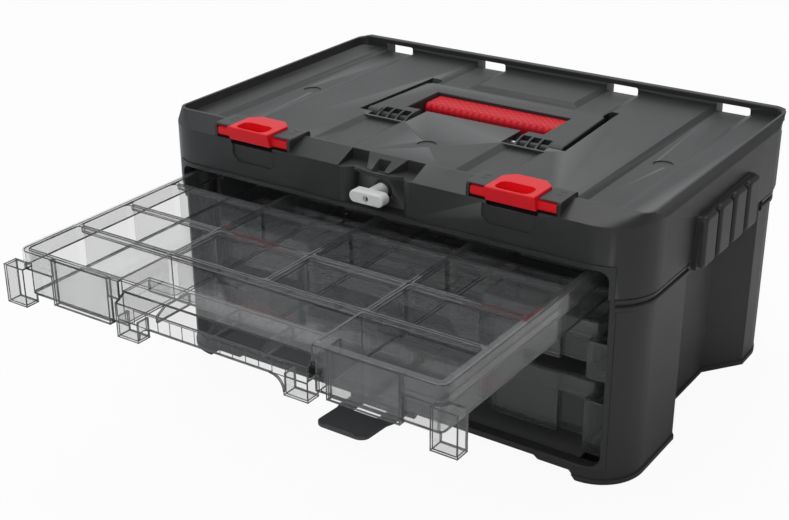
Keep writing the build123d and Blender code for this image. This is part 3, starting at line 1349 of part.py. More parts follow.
def main():
    """Builds every node and writes it."""
    os.makedirs("parts", exist_ok=True)
    first_row = tray_front_y + FRONT_ROW + ROW_PITCH
    row_lines = [first_row, first_row + ROW_PITCH]
    column_lines = [-COLUMN_PITCH, 0.0, COLUMN_PITCH]
    write("case_body", case_body())
    write("case_cover", case_cover())
    write("front_frame", front_frame())
    write("runner_left", runner(-1))
    write("runner_right", runner(1))
    write("runner_screws", runner_screws())
    write("cover_screws", cover_screws())
    write("frame_screws", frame_screws())
    top = tray(top_rim_z, SHALLOW_BODY, SHALLOW_FOOT, column_lines, row_lines)
    write("top_drawer", pulled_out(top + pull(top_rim_z)))
    middle = tray(middle_rim_z, SHALLOW_BODY, SHALLOW_FOOT, [0.0], [])
    write("middle_drawer", middle + pull(middle_rim_z))
    bottom = tray(bottom_rim_z, DEEP_BODY, DEEP_FOOT, [], [])
    write("bottom_drawer", bottom + pull(bottom_rim_z))
    write("handle_frame", handle_frame())
    write("handle_grip", handle_grip())
    write("handle_pin_left", handle_pin(-1))
    write("handle_pin_right", handle_pin(1))
    write("latch_left", latch(-latch_x))
    write("latch_right", latch(latch_x))
    write("lock_knob", lock_knob())
    write("lock_cam", lock_cam())
    write("lock_screw", lock_screw())
    write("release_tab", release_tab())
    write("tab_pin", tab_pin())


main()
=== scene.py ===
"""Looks of the portable tool box with drawers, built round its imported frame.

Every piece is in metres, in the frame's own coordinates: +Z up, the drawers facing -Y.
"""

from __future__ import annotations

import logging
import math
from dataclasses import dataclass, field
from enum import Enum

import bmesh
import bpy
from mathutils import Matrix, Vector


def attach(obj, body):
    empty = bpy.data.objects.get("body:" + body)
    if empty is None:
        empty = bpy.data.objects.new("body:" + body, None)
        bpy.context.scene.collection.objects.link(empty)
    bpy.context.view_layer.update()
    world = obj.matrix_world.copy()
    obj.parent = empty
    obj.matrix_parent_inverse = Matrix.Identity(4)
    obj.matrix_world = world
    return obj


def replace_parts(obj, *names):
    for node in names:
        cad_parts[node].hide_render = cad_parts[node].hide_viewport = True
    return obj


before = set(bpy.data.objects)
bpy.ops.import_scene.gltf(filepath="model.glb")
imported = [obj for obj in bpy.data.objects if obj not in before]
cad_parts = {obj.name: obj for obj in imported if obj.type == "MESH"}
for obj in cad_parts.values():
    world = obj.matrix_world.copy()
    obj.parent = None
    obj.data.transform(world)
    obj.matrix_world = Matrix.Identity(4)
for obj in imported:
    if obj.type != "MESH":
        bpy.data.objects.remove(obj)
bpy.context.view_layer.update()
LOG = logging.getLogger("tool_box")
MM = 0.001
FLAT_AREA = 1200 * MM * MM  # a face above this size is one of the flat walls
MERGE_GAP = 0.002 * MM  # corners of the loose CAD triangles this near are one
FLAT_TURN = math.radians(0.6)  # faces that turn by less than this lie in one plane


class Body(str, Enum):
    """The bodies that pieces ride on."""

    CASE = "root"
    TOP = "top_drawer"
    MIDDLE = "middle_drawer"
    BOTTOM = "bottom_drawer"
    HANDLE = "handle"
    LATCH_LEFT = "latch_left"
    LATCH_RIGHT = "latch_right"
    LOCK = "lock"
    TAB = "release_tab"


class Slot(str, Enum):
    """The record's material slots."""

    SHELL = "dark_shell"
    INNER = "dark_inner"
    RED = "red_trim"
    CLEAR = "clear_drawer"
    WHITE = "white_knob"
    STEEL = "screw_steel"


# ---------------------------------------------------------------- finishes
class Nodes:
    """A short way to write one material's node tree."""

    def __init__(self, name: str) -> None:
        """Starts an empty node material.

        Args:
            name: the material's name.
        """
        self.material = bpy.data.materials.new(name)
        self.material.use_nodes = True
        self.tree = self.material.node_tree
        self.tree.nodes.clear()

    def add(self, kind: str, **settings: object) -> bpy.types.Node:
        """Adds a node.

        Args:
            kind: the node's type, without the ShaderNode prefix.
            settings: its properties, and its input sockets by name with spaces as underscores.

        Returns:
            The node.
        """
        node = self.tree.nodes.new("ShaderNode" + kind)
        for key, value in settings.items():
            if hasattr(node, key) and key not in ("Color",):
                setattr(node, key, value)
            else:
                node.inputs[key.replace("_", " ")].default_value = value
        return node

    def link(self, source: bpy.types.NodeSocket, target: bpy.types.NodeSocket) -> None:
        """Joins two sockets."""
        self.tree.links.new(source, target)

    def finish(self, shader: bpy.types.NodeSocket) -> bpy.types.Material:
        """Joins a shader to the output.

        Args:
            shader: the shader's output socket.

        Returns:
            The finished material.
        """
        output = self.add("OutputMaterial")
        self.link(shader, output.inputs["Surface"])
        return self.material


@dataclass(frozen=True)
class Moulded:
    """A moulded plastic: fine grain, faint mottling and lighter edges, a painted edge highlight with a
    little wear.
    """

    name: str
    colour: tuple[float, float, float]
    roughness: float = 0.46
    grain: float = 1600.0
    grain_depth: float = 0.06
    mottle: float = 0.10
    wear_and_highlight: float = 0.25
    wear_and_highlight_colour: tuple[float, float, float] = (0.16, 0.16, 0.165)
    ior: float = 1.47
    softness: float = 0.9 * MM

    def material(self) -> bpy.types.Material:
        """Builds the node material.

        Returns:
            The material.
        """
        n = Nodes(self.name)
        place = n.add("TexCoord")
        clouds = n.add("TexNoise", Scale=18.0, Detail=4.0, Roughness=0.6)
        n.link(place.outputs["Object"], clouds.inputs["Vector"])
        grain = n.add("TexNoise", Scale=self.grain, Detail=3.0, Roughness=0.55)
        n.link(place.outputs["Object"], grain.inputs["Vector"])
        shade = n.add("MapRange")
        shade.inputs["To Min"].default_value = 1.0 - self.mottle
        shade.inputs["To Max"].default_value = 1.0 + self.mottle
        n.link(clouds.outputs["Fac"], shade.inputs["Value"])
        tint = n.add("Mix", data_type="RGBA", blend_type="MULTIPLY")
        tint.inputs[0].default_value = 1.0
        tint.inputs[6].default_value = (*self.colour, 1.0)
        n.link(shade.outputs["Result"], tint.inputs[7])
        # Sharp edges are painted lighter: a painted edge highlight, with a little wear.
        edge = n.add("NewGeometry")
        highlight_and_wear_mask = n.add("ValToRGB")
        highlight_and_wear_mask.color_ramp.elements[0].position = 0.54
        highlight_and_wear_mask.color_ramp.elements[1].position = 0.66
        n.link(edge.outputs["Pointiness"], highlight_and_wear_mask.inputs["Fac"])
        amount = n.add("Math", operation="MULTIPLY")
        amount.inputs[1].default_value = self.wear_and_highlight
        n.link(highlight_and_wear_mask.outputs["Color"], amount.inputs[0])
        base = n.add("Mix", data_type="RGBA")
        n.link(amount.outputs[0], base.inputs[0])
        n.link(tint.outputs[2], base.inputs[6])
        base.inputs[7].default_value = (*self.wear_and_highlight_colour, 1.0)
        rough = n.add("MapRange")
        rough.inputs["To Min"].default_value = self.roughness - 0.05
        rough.inputs["To Max"].default_value = self.roughness + 0.07
        n.link(clouds.outputs["Fac"], rough.inputs["Value"])
        soft = n.add("Bevel", samples=6, Radius=self.softness)
        bump = n.add("Bump", Strength=self.grain_depth, Distance=0.0004)
        n.link(grain.outputs["Fac"], bump.inputs["Height"])
        n.link(soft.outputs["Normal"], bump.inputs["Normal"])
        shader = n.add("BsdfPrincipled", IOR=self.ior)
        n.link(base.outputs[2], shader.inputs["Base Color"])
        n.link(rough.outputs["Result"], shader.inputs["Roughness"])
        n.link(bump.outputs["Normal"], shader.inputs["Normal"])
        return n.finish(shader.outputs["BSDF"])


@dataclass(frozen=True)
class Clear:
    """A clear moulding: see-through with a faint haze, and glossy only on its outer faces."""

    name: str
    tint: float = 0.925
    haze: float = 0.06
    grazing: float = 0.40
    haze_colour: tuple[float, float, float] = (0.46, 0.47, 0.48)
    roughness: float = 0.05

    def material(self) -> bpy.types.Material:
        """Builds the node material.

        Returns:
            The material.
        """
        n = Nodes(self.name)
        place = n.add("TexCoord")
        flow = n.add("TexNoise", Scale=26.0, Detail=2.0)
        n.link(place.outputs["Object"], flow.inputs["Vector"])
        bump = n.add("Bump", Strength=0.10, Distance=0.0008)
        n.link(flow.outputs["Fac"], bump.inputs["Height"])
        facing = n.add("LayerWeight", Blend=0.30)
        rise = n.add("MapRange")
        rise.inputs["From Min"].default_value = 0.40
        rise.inputs["From Max"].default_value = 1.0
        rise.inputs["To Min"].default_value = self.haze
        rise.inputs["To Max"].default_value = self.grazing
        n.link(facing.outputs["Facing"], rise.inputs["Value"])
        side = n.add("NewGeometry")
        front = n.add("Math", operation="SUBTRACT")
        front.inputs[0].default_value = 1.0
        n.link(side.outputs["Backfacing"], front.inputs[1])
        veil = n.add("Math", operation="MULTIPLY")
        n.link(rise.outputs["Result"], veil.inputs[0])
        n.link(front.outputs[0], veil.inputs[1])
        see = n.add("BsdfTransparent")
        see.inputs["Color"].default_value = (self.tint, self.tint, self.tint, 1.0)
        skin = n.add("BsdfPrincipled", Roughness=0.3)
        skin.inputs["Base Color"].default_value = (*self.haze_colour, 1.0)
        body = n.add("MixShader")
        n.link(veil.outputs[0], body.inputs["Fac"])
        n.link(see.outputs["BSDF"], body.inputs[1])
        n.link(skin.outputs["BSDF"], body.inputs[2])
        shine = n.add("BsdfAnisotropic", Roughness=self.roughness)
        shine.inputs["Color"].default_value = (1.0, 1.0, 1.0, 1.0)
        n.link(bump.outputs["Normal"], shine.inputs["Normal"])
        mirror = n.add("Fresnel", IOR=1.5)
        share = n.add("Math", operation="MULTIPLY")
        n.link(mirror.outputs["Fac"], share.inputs[0])
        n.link(front.outputs[0], share.inputs[1])
        whole = n.add("MixShader")
        n.link(share.outputs[0], whole.inputs["Fac"])
        n.link(body.outputs[0], whole.inputs[1])
        n.link(shine.outputs[0], whole.inputs[2])
        return n.finish(whole.outputs[0])


@dataclass(frozen=True)
class ClearEdgePaintedShade:
    """A clear moulding's thin edge, painted dark: painted shade for what the edge gathers of the dark
    around it.
    """

    name: str
    # The edge's dark colour is painted shade.
    colour: tuple[float, float, float] = (0.05, 0.051, 0.053)
    cover: float = 0.72
    roughness: float = 0.16

    def material(self) -> bpy.types.Material:
        """Builds the node material.

        Returns:
            The material.
        """
        n = Nodes(self.name)
        place = n.add("TexCoord")
        patches = n.add("TexNoise", Scale=70.0, Detail=3.0)
        n.link(place.outputs["Object"], patches.inputs["Vector"])
        amount = n.add("MapRange")
        amount.inputs["From Min"].default_value = 0.3
        amount.inputs["From Max"].default_value = 0.7
        amount.inputs["To Min"].default_value = self.cover - 0.22
        amount.inputs["To Max"].default_value = self.cover + 0.22
        n.link(patches.outputs["Fac"], amount.inputs["Value"])
        see = n.add("BsdfTransparent")
        skin = n.add("BsdfPrincipled", Roughness=self.roughness)
        skin.inputs["Base Color"].default_value = (*self.colour, 1.0)
        whole = n.add("MixShader")
        n.link(amount.outputs["Result"], whole.inputs["Fac"])
        n.link(see.outputs["BSDF"], whole.inputs[1])
        n.link(skin.outputs["BSDF"], whole.inputs[2])
        return n.finish(whole.outputs[0])


@dataclass(frozen=True)
class Studded:
    """A soft red grip with rows of small diamond studs on its upper side, their middles painted lighter
    and their gaps darker: painted highlight and painted shade.
    """

    name: str
    colour: tuple[float, float, float]
    pitch: float = 210.0
    height: float = 0.0011

    def material(self) -> bpy.types.Material:
        """Builds the node material.

        Returns:
            The material.
        """
        n = Nodes(self.name)
        place = n.add("TexCoord")
        turned = n.add("Mapping")
        turned.inputs["Rotation"].default_value = (0.0, 0.0, math.radians(45.0))
        n.link(place.outputs["Object"], turned.inputs["Vector"])
        studs = n.add("TexVoronoi", voronoi_dimensions="2D", Scale=self.pitch, Randomness=0.0)
        n.link(turned.outputs["Vector"], studs.inputs["Vector"])
        bump = n.add("Bump", Strength=0.9, Distance=self.height, invert=True)
        n.link(studs.outputs["Distance"], bump.inputs["Height"])
        # The studs' middles are painted lighter and the gaps between them darker: painted highlight and
        # painted shade.
        shade = n.add("MapRange")
        shade.inputs["From Max"].default_value = 0.7
        shade.inputs["To Min"].default_value = 1.15
        shade.inputs["To Max"].default_value = 0.55
        n.link(studs.outputs["Distance"], shade.inputs["Value"])
        tint = n.add("Mix", data_type="RGBA", blend_type="MULTIPLY")
        tint.inputs[0].default_value = 1.0
        tint.inputs[6].default_value = (*self.colour, 1.0)
        n.link(shade.outputs["Result"], tint.inputs[7])
        shader = n.add("BsdfPrincipled", Roughness=0.5, IOR=1.36)
        n.link(tint.outputs[2], shader.inputs["Base Color"])
        n.link(bump.outputs["Normal"], shader.inputs["Normal"])
        return n.finish(shader.outputs["BSDF"])


@dataclass(frozen=True)
class Plated:
    """Zinc-plated steel with a fine drawn grain."""

    name: str
    colour: tuple[float, float, float] = (0.62, 0.62, 0.60)
    roughness: float = 0.32

    def material(self) -> bpy.types.Material:
        """Builds the node material.

        Returns:
            The material.
        """
        n = Nodes(self.name)
        place = n.add("TexCoord")
        lines = n.add("TexNoise", Scale=900.0, Detail=2.0)
        n.link(place.outputs["Object"], lines.inputs["Vector"])
        rough = n.add("MapRange")
        rough.inputs["To Min"].default_value = self.roughness - 0.08
        rough.inputs["To Max"].default_value = self.roughness + 0.10
        n.link(lines.outputs["Fac"], rough.inputs["Value"])
        shader = n.add("BsdfPrincipled", Metallic=1.0)
        shader.inputs["Base Color"].default_value = (*self.colour, 1.0)
        n.link(rough.outputs["Result"], shader.inputs["Roughness"])
        return n.finish(shader.outputs["BSDF"])


# The lighter edges of these finishes are a painted edge highlight with a little wear.
DARK_PP = Moulded(
    "dark_polypropylene", (0.028, 0.0283, 0.0288), 0.42, wear_and_highlight=0.45, wear_and_highlight_colour=(0.22, 0.22, 0.22)
)
# A lighter copy of the dark plastic, making up for the drawer's shadow on the tab: painted light.
TAB_PP_PAINTED_LIGHT = Moulded("tab_polypropylene_painted_light", (0.085, 0.086, 0.087), 0.45, wear_and_highlight=0.3)
# This darkest plastic is the runners' own colour, and painted shade on the slots of the latch seats and
# the lock.
INNER_PP_AND_SLOT_SHADE = Moulded("inner_polypropylene_and_slot_shade", (0.020, 0.0205, 0.021), roughness=0.5, wear_and_highlight=0.12)
RED_PP = Moulded(
    "red_moulding", (0.86, 0.008, 0.018), 0.42, wear_and_highlight=0.10, wear_and_highlight_colour=(0.90, 0.12, 0.12), ior=1.36
)
RED_GRIP = Studded("red_soft_grip", (0.84, 0.008, 0.022))
WHITE_PP = Moulded("white_moulding", (0.82, 0.82, 0.81), 0.34, grain_depth=0.02, mottle=0.02, wear_and_highlight=0.0)
CLEAR_PC = Clear("clear_polycarbonate")
# The clear edges' dark is painted shade.
CLEAR_EDGE_PAINTED_SHADE = ClearEdgePaintedShade("clear_polycarbonate_painted_edge_shade")
STEEL = Plated("zinc_plated_steel")


# ---------------------------------------------------------------- mesh helpers
def softened(node: str, width: float, segments: int = 2, sharp_from: float = 35.0) -> bmesh.types.BMesh:
    """Takes a CAD node's form and rounds its sharp edges.

    Args:
        node: the node's name.
        width: the rounding's greatest width, in metres. Blender narrows it where edges are close.
        segments: faces across each rounding.
        sharp_from: edges that turn by more than this many degrees are rounded.

    Returns:
        The rounded form.
    """
    form = bmesh.new()
    form.from_mesh(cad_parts[node].data)
    bmesh.ops.remove_doubles(form, verts=form.verts, dist=MERGE_GAP)
    bmesh.ops.dissolve_degenerate(form, edges=form.edges, dist=MERGE_GAP)
    bmesh.ops.dissolve_limit(form, angle_limit=FLAT_TURN, verts=form.verts, edges=form.edges)
    limit = math.radians(sharp_from)
    edges = [e for e in form.edges if e.is_manifold and e.calc_face_angle(0.0) > limit]
    bmesh.ops.bevel(
        form,
        geom=edges,
        offset=width,
        offset_type="OFFSET",
        segments=segments,
        profile=0.5,
        affect="EDGES",
        clamp_overlap=True,
        material=-1,
    )
    return form


def edge_shade_bars(
    node: str, width: float, depth: float, sharp_from: float = 25.0, shortest: float = 0.25 * MM
) -> bmesh.types.BMesh:
    """Lays a thin bar of painted dark shade just inside each sharp edge of a CAD node.

    Args:
        node: the node's name.
        width: the bars' width, in metres.
        depth: from the edge in to a bar's middle, in bar widths.
        sharp_from: edges that turn by more than this many degrees get a bar.
        shortest: edges below this length, in metres, get none.

    Returns:
        The bars, each one closed.
    """
    source = bmesh.new()
    source.from_mesh(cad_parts[node].data)
    bmesh.ops.remove_doubles(source, verts=source.verts, dist=MERGE_GAP)
    bmesh.ops.dissolve_limit(source, angle_limit=FLAT_TURN, verts=source.verts, edges=source.edges)
    limit = math.radians(sharp_from)
    bars = bmesh.new()
    for edge in source.edges:
        if not edge.is_manifold or edge.calc_face_angle(0.0) < limit or edge.calc_length() < shortest:
            continue
        start, end = (vert.co for vert in edge.verts)
        along = (end - start).normalized()
        upright = edge.link_faces[0].normal
        across = along.cross(upright).normalized()
        inward = -(upright + edge.link_faces[1].normal).normalized()
        middle = (start + end) / 2 + inward * width * depth
        turn = Matrix((along, across, upright)).transposed().to_4x4()
        size = Matrix.Diagonal((edge.calc_length(), width, width, 1.0))
        bmesh.ops.create_cube(bars, size=1.0, matrix=Matrix.Translation(middle) @ turn @ size)
    source.free()
    return bars


def add_box(
    form: bmesh.types.BMesh, low: tuple[float, float, float], high: tuple[float, float, float]
) -> None:
    """Adds a closed box to a form.

    Args:
        form: what it is added to.
        low: its least corner, in millimetres.
        high: its greatest corner, in millimetres.
    """
    middle = Vector([(a + b) / 2 * MM for a, b in zip(low, high)])
    size = [(b - a) * MM for a, b in zip(low, high)]
    place = Matrix.Translation(middle) @ Matrix.Diagonal((*size, 1.0))
    bmesh.ops.create_cube(form, size=1.0, matrix=place)


def piece(
    name: str,
    form: bmesh.types.BMesh,
    finish: bpy.types.Material,
    body: Body,
    smooth: float = 32.0,
) -> bpy.types.Object:
    """Makes a finished piece out of a form.

    Args:
        name: the piece's name.
        form: its shape, in the frame's place. It is freed.
        finish: its material.
        body: what it rides on.
        smooth: edges that turn by less than this many degrees are shaded smooth.

    Returns:
        The piece.
    """
    mesh = bpy.data.meshes.new(name)
    form.to_mesh(mesh)
    form.free()
    mesh.materials.append(finish)
    mesh.shade_smooth()
    mesh.set_sharp_from_angle(angle=math.radians(smooth))
    for face in mesh.polygons:
        if face.area > FLAT_AREA:
            face.use_smooth = False
    obj = bpy.data.objects.new(name, mesh)
    bpy.context.scene.collection.objects.link(obj)
    weigh = obj.modifiers.new("even_shading", "WEIGHTED_NORMAL")
    weigh.keep_sharp = True
    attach(obj, body.value)
    LOG.info("%s: %d faces", name, len(mesh.polygons))
    return obj


def dress(node: str, finish: bpy.types.Material) -> None:
    """Gives a CAD node that stays its material.

    Args:
        node: the node's name.
        finish: the material.
    """
    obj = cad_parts[node]
    obj.data.materials.clear()
    obj.data.materials.append(finish)
    LOG.info("%s dressed", node)


@dataclass
class Shells:
    """The body, the cover and the frame of the opening."""

    edge: float = 1.0 * MM
    lining_edge: float = 0.6 * MM
    smooth: float = 13.0

    def build(self, finish: bpy.types.Material, inner: bpy.types.Material) -> None:
        """Builds the pieces.

        Args:
            finish: the material of the shells and of the opening's frame.
            inner: the runners' material.
        """
        for node in ("case_body", "case_cover"):
            form = softened(node, self.edge)
            shell = piece(node + "_shell", form, finish, Body.CASE, self.smooth)
            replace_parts(shell, node)
        form = softened("front_frame", self.lining_edge)
        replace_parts(piece("opening_frame", form, finish, Body.CASE), "front_frame")
        dress("runner_left", inner)
        dress("runner_right", inner)


@dataclass
class Drawers:
    """The three clear drawers, with their edges painted dark as painted shade, and the squares on their
    pulls.
    """

    edge: float = 0.5 * MM
    bar: float = 0.7 * MM
    bar_depth: float = 0.76
    front_y: float = -146.5
    travel: float = 234.0
    rims: dict[Body, float] = field(
        default_factory=lambda: {Body.TOP: 190.5, Body.MIDDLE: 136.5, Body.BOTTOM: 82.5}
    )
    square_half: float = 72.5
    squares: int = 12
    line: float = 0.6
    line_low: float = 30.0  # below the drawer's top
    line_high: float = 18.0
    under: float = 0.06  # the lines lie this far behind the pull's front
    line_back: float = 0.5
    cross_step: float = 0.05  # the level lines start behind the upright ones

    def build(self, finish: bpy.types.Material, edge: bpy.types.Material) -> None:
        """Builds the pieces.

        Args:
            finish: the clear material.
            edge: the material of the thin edges, a painted dark shade.
        """
        for body, rim in self.rims.items():
            form = softened(body.value, self.edge)
            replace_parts(piece(body.value + "_moulding", form, finish, body), body.value)
            bars = edge_shade_bars(body.value, self.bar, self.bar_depth)
            # Each sharp edge gets a dark bar: painted shade in place of the dark that refraction gives
            # a clear edge.
            piece(body.value + "_painted_edge_shade", bars, edge, body)
            front = self.front_y - (self.travel if body is Body.TOP else 0.0)
            piece(body.value + "_squares", self.lines(front, rim), edge, body)

    def lines(self, front: float, rim: float) -> bmesh.types.BMesh:
        """Draws the lines between the squares on one pull's front.

        Args:
            front: the pull's front, in millimetres along Y.
            rim: the drawer's top, in millimetres.

        Returns:
            The lines as closed bars.
        """
        form = bmesh.new()
        low, high = rim - self.line_low, rim - self.line_high
        near, far = front + self.under, front + self.line_back
        pitch = 2 * self.square_half / self.squares
        for index in range(self.squares + 1):
            x = -self.square_half + index * pitch
            add_box(form, (x - self.line / 2, near, low), (x + self.line / 2, far, high))
        for z in (low, high):
            start, end = -self.square_half - self.line, self.square_half + self.line
            add_box(
                form,
                (start, near + self.cross_step, z - self.line / 2),
                (end, far, z + self.line / 2),
            )
        return form


@dataclass
class Handle:
    """The carry handle."""

    bow_edge: float = 0.7 * MM
    grip_edge: float = 0.8 * MM

    def build(self, finish: bpy.types.Material, grip: bpy.types.Material) -> None:
        """Builds the pieces.

        Args:
            finish: the frame's material.
            grip: the soft grip's material.
        """
        form = softened("handle_frame", self.bow_edge)
        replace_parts(piece("handle_bow", form, finish, Body.HANDLE), "handle_frame")
        form = softened("handle_grip", self.grip_edge)
        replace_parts(piece("handle_soft_grip", form, grip, Body.HANDLE), "handle_grip")


@dataclass
class Latches:
    """The two stacking latches, and the small slots in their seats drawn in painted shade."""

    centre: float = 130.5
    edge: float = 0.5 * MM
    edge_segments: int = 3
    edge_from: float = 15.0
    seat_top: float = 242.0
    slot_out: float = 33.5  # from the latch's middle to a slot's
    slot_rows: tuple[float, float] = (-151.0, -144.5)
    slot_half_length: float = 2.6
    slot_half_width: float = 1.5
    slot_corner: float = 1.3
    slot_depth: float = 0.6
    slot_proud: float = 0.06

    def build(self, finish: bpy.types.Material, dark: bpy.types.Material) -> None:
        """Builds the pieces.

        Args:
            finish: the latches' material.
            dark: the painted shade of the small slots in the seats.
        """
        for body, x in ((Body.LATCH_LEFT, -self.centre), (Body.LATCH_RIGHT, self.centre)):
            form = softened(body.value, self.edge, self.edge_segments, self.edge_from)
            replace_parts(piece(body.value + "_lever", form, finish, body), body.value)
            # The seat slots are dark plates: painted shade in place of the holes' depth.
            piece(body.value + "_seat_slot_shade", self.slots(x), dark, Body.CASE)

    def slots(self, centre: float) -> bmesh.types.BMesh:
        """Marks the two small slots in the seat on each side of a latch with painted shade.

        Args:
            centre: the latch's middle, in millimetres along X.

        Returns:
            The slots as dark closed plates of painted shade, a hair above the seat.
        """
        form = bmesh.new()
        low, high = self.seat_top - self.slot_depth, self.seat_top + self.slot_proud
        along, across = self.slot_half_length, self.slot_half_width
        for x in (centre - self.slot_out, centre + self.slot_out):
            for y in self.slot_rows:
                add_box(form, (x - along, y - across, low), (x + along, y + across, high))
        half_height = self.slot_depth / 2 * MM
        bmesh.ops.bevel(
            form,
            geom=[e for e in form.edges if abs(e.verts[0].co.z - e.verts[1].co.z) > half_height],
            offset=self.slot_corner * MM,
            offset_type="OFFSET",
            segments=4,
            profile=0.5,
            affect="EDGES",
            material=-1,
        )
        return form


@dataclass
class Lock:
    """The white lock knob, its slot drawn as a dark box of painted shade, and the dark ring behind it.
    """

    height: float = 211.5
    front: float = -179.0
    wall: float = -153.5
    edge: float = 0.5 * MM
    edge_segments: int = 3
    edge_from: float = 20.0
    slot_near: float = 2.0  # behind the knob's front
    slot_far: float = 3.2
    slot_half_width: float = 0.9
    slot_half_height: float = 2.2
    ring_radius: float = 9.2
    ring_taper: float = 0.8
    ring_depth: float = 1.6
    ring_out: float = 0.6  # the ring's middle stands this far before the wall
    ring_sides: int = 48

    def build(self, white: bpy.types.Material, dark: bpy.types.Material) -> None:
        """Builds the pieces.

        Args:
            white: the knob's material.
            dark: the material of the slot, painted dark as painted shade, and of the ring.
        """
        form = softened("lock_knob", self.edge, self.edge_segments, self.edge_from)
        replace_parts(piece("lock_wing", form, white, Body.LOCK), "lock_knob")
        # The slot is a dark box: painted shade in place of the slot's depth.
        slot = bmesh.new()
        low = (-self.slot_half_width, self.front + self.slot_near, self.height - self.slot_half_height)
        high = (self.slot_half_width, self.front + self.slot_far, self.height + self.slot_half_height)
        add_box(slot, low, high)
        piece("lock_slot_shade", slot, dark, Body.LOCK)
        ring = bmesh.new()
        place = Matrix.Translation(Vector((0.0, self.wall - self.ring_out, self.height)) * MM)
        bmesh.ops.create_cone(
            ring,
            cap_ends=True,
            segments=self.ring_sides,
            radius1=self.ring_radius * MM,
            radius2=(self.ring_radius - self.ring_taper) * MM,
            depth=self.ring_depth * MM,
            matrix=place @ Matrix.Rotation(math.radians(90.0), 4, "X"),
        )
        piece("lock_ring", ring, dark, Body.CASE)


@dataclass
class SmallParts:
    """The release tab, the lock's cam and the fasteners."""

    tab_edge: float = 0.5 * MM

    def build(self, lever: bpy.types.Material, steel: bpy.types.Material) -> None:
        """Builds the pieces.

        Args:
            lever: the tab's material, a lighter grey that is painted light for the drawer's shadow on
                the tab.
            steel: the material of the screws, the pins and the cam.
        """
        form = softened("release_tab", self.tab_edge)
        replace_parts(piece("release_lever", form, lever, Body.TAB), "release_tab")
        for node in (
            "runner_screws",
            "cover_screws",
            "frame_screws",
            "handle_pin_left",
            "handle_pin_right",
            "lock_cam",
            "lock_screw",
            "tab_pin",
        ):
            dress(node, steel)


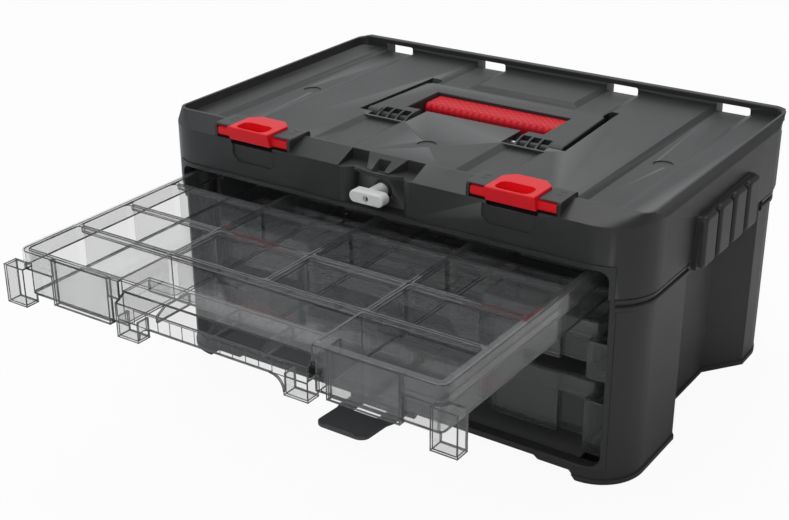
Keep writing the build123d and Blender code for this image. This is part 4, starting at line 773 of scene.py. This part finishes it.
# ---------------------------------------------------------------- studio
@dataclass
class Studio:
    """Pale floor, soft lamps, white surroundings and the camera."""

    lens: float = 63.02
    eye: tuple[float, float, float] = (0.614609, -1.039975, 0.637007)
    right: tuple[float, float, float] = (0.82819, 0.56054, -0.00516)
    up: tuple[float, float, float] = (-0.22793, 0.34571, 0.91033)
    back: tuple[float, float, float] = (0.51222, -0.75258, 0.41348)
    floor_half: float = 6.0
    floor_shade: tuple[float, float] = (0.86, 0.88)
    floor_glow: float = 0.94  # share of plain white that the camera sees in the floor
    lamp_target: tuple[float, float, float] = (0.0, -0.05, 0.15)
    sky_colour: tuple[float, float, float] = (0.92, 0.96, 1.0)
    sky_strength: float = 0.26
    clear_layers: int = 48  # surfaces of clear plastic that a ray may pass

    def build(self) -> None:
        """Builds the studio."""
        self.camera()
        self.floor()
        self.lamps()
        self.world()
        scene = bpy.context.scene
        scene.view_settings.view_transform = "Standard"
        scene.cycles.transparent_max_bounces = self.clear_layers

    def camera(self) -> None:
        """Places the camera at the picture's point of view."""
        data = bpy.data.cameras.new("camera")
        data.lens = self.lens
        data.sensor_width = 36.0
        data.clip_start = 0.05
        camera = bpy.data.objects.new("camera", data)
        turn = Matrix((self.right, self.up, self.back)).transposed()
        camera.matrix_world = Matrix.Translation(Vector(self.eye)) @ turn.to_4x4()
        bpy.context.scene.collection.objects.link(camera)
        bpy.context.scene.camera = camera

    def floor(self) -> None:
        """Lays the pale floor, which keeps a soft shadow."""
        form = bmesh.new()
        bmesh.ops.create_grid(form, x_segments=1, y_segments=1, size=self.floor_half)
        mesh = bpy.data.meshes.new("floor")
        form.to_mesh(mesh)
        form.free()
        n = Nodes("pale_floor")
        place = n.add("TexCoord")
        noise = n.add("TexNoise", Scale=3.0)
        n.link(place.outputs["Object"], noise.inputs["Vector"])
        shade = n.add("MapRange")
        shade.inputs["To Min"].default_value = self.floor_shade[0]
        shade.inputs["To Max"].default_value = self.floor_shade[1]
        n.link(noise.outputs["Fac"], shade.inputs["Value"])
        matt = n.add("BsdfDiffuse")
        n.link(shade.outputs["Result"], matt.inputs["Color"])
        glow = n.add("Emission", Strength=1.0)
        path = n.add("LightPath")
        seen = n.add("Math", operation="MAXIMUM")
        n.link(path.outputs["Is Camera Ray"], seen.inputs[0])
        n.link(path.outputs["Is Transmission Ray"], seen.inputs[1])
        share = n.add("Math", operation="MULTIPLY")
        share.inputs[1].default_value = self.floor_glow
        n.link(seen.outputs[0], share.inputs[0])
        mix = n.add("MixShader")
        n.link(share.outputs[0], mix.inputs["Fac"])
        n.link(matt.outputs[0], mix.inputs[1])
        n.link(glow.outputs[0], mix.inputs[2])
        mesh.materials.append(n.finish(mix.outputs[0]))
        floor = bpy.data.objects.new("floor", mesh)
        bpy.context.scene.collection.objects.link(floor)

    def lamp(
        self,
        name: str,
        at: tuple[float, float, float],
        size: float,
        power: float,
        colour: tuple[float, float, float],
    ) -> None:
        """Hangs one soft square lamp that points at the tool box.

        Args:
            name: the lamp's name.
            at: its place, in metres.
            size: its side, in metres.
            power: its power, in watts.
            colour: its colour.
        """
        data = bpy.data.lights.new(name, "AREA")
        data.size = size
        data.energy = power
        data.color = colour
        lamp = bpy.data.objects.new(name, data)
        lamp.location = at
        aim = Vector(self.lamp_target) - Vector(at)
        lamp.rotation_euler = aim.to_track_quat("-Z", "Y").to_euler()
        bpy.context.scene.collection.objects.link(lamp)

    def lamps(self) -> None:
        """Hangs the lamps."""
        self.lamp("backdrop_glow", (-1.15, 1.95, 1.05), 2.2, 9.0, (1.0, 1.0, 1.0))
        self.lamp("overhead", (-0.2, 0.3, 1.9), 1.4, 16.0, (1.0, 1.0, 1.0))
        self.lamp("cool_side", (-1.8, -0.4, 0.9), 1.0, 5.0, (0.80, 0.90, 1.0))
        self.lamp("warm_side", (2.1, 0.5, 0.7), 0.9, 2.5, (1.0, 0.80, 0.64))
        self.lamp("front_fill", (0.4, -2.4, 1.2), 1.2, 14.0, (1.0, 0.99, 0.97))

    def world(self) -> None:
        """Sets white surroundings: plain for the camera, softer as a light."""
        world = bpy.data.worlds.new("surroundings")
        world.use_nodes = True
        tree = world.node_tree
        tree.nodes.clear()
        path = tree.nodes.new("ShaderNodeLightPath")
        seen = tree.nodes.new("ShaderNodeMath")
        seen.operation = "MAXIMUM"
        tree.links.new(path.outputs["Is Camera Ray"], seen.inputs[0])
        tree.links.new(path.outputs["Is Transmission Ray"], seen.inputs[1])
        dim = tree.nodes.new("ShaderNodeBackground")
        dim.inputs["Color"].default_value = (*self.sky_colour, 1.0)
        dim.inputs["Strength"].default_value = self.sky_strength
        white = tree.nodes.new("ShaderNodeBackground")
        white.inputs["Strength"].default_value = 1.0
        white.inputs["Color"].default_value = (1.0, 1.0, 1.0, 1.0)
        mix = tree.nodes.new("ShaderNodeMixShader")
        tree.links.new(seen.outputs[0], mix.inputs["Fac"])
        tree.links.new(dim.outputs[0], mix.inputs[1])
        tree.links.new(white.outputs[0], mix.inputs[2])
        out = tree.nodes.new("ShaderNodeOutputWorld")
        tree.links.new(mix.outputs[0], out.inputs["Surface"])
        bpy.context.scene.world = world


def main() -> None:
    """Builds the tool box and its studio."""
    logging.basicConfig(level=logging.INFO, format="%(name)s %(message)s")
    Studio().build()
    dark, inner = DARK_PP.material(), INNER_PP_AND_SLOT_SHADE.material()
    Shells().build(dark, inner)
    Drawers().build(CLEAR_PC.material(), CLEAR_EDGE_PAINTED_SHADE.material())
    Handle().build(dark, RED_GRIP.material())
    Latches().build(RED_PP.material(), inner)
    Lock().build(WHITE_PP.material(), inner)
    SmallParts().build(TAB_PP_PAINTED_LIGHT.material(), STEEL.material())


if __name__ == "__main__":
    main()
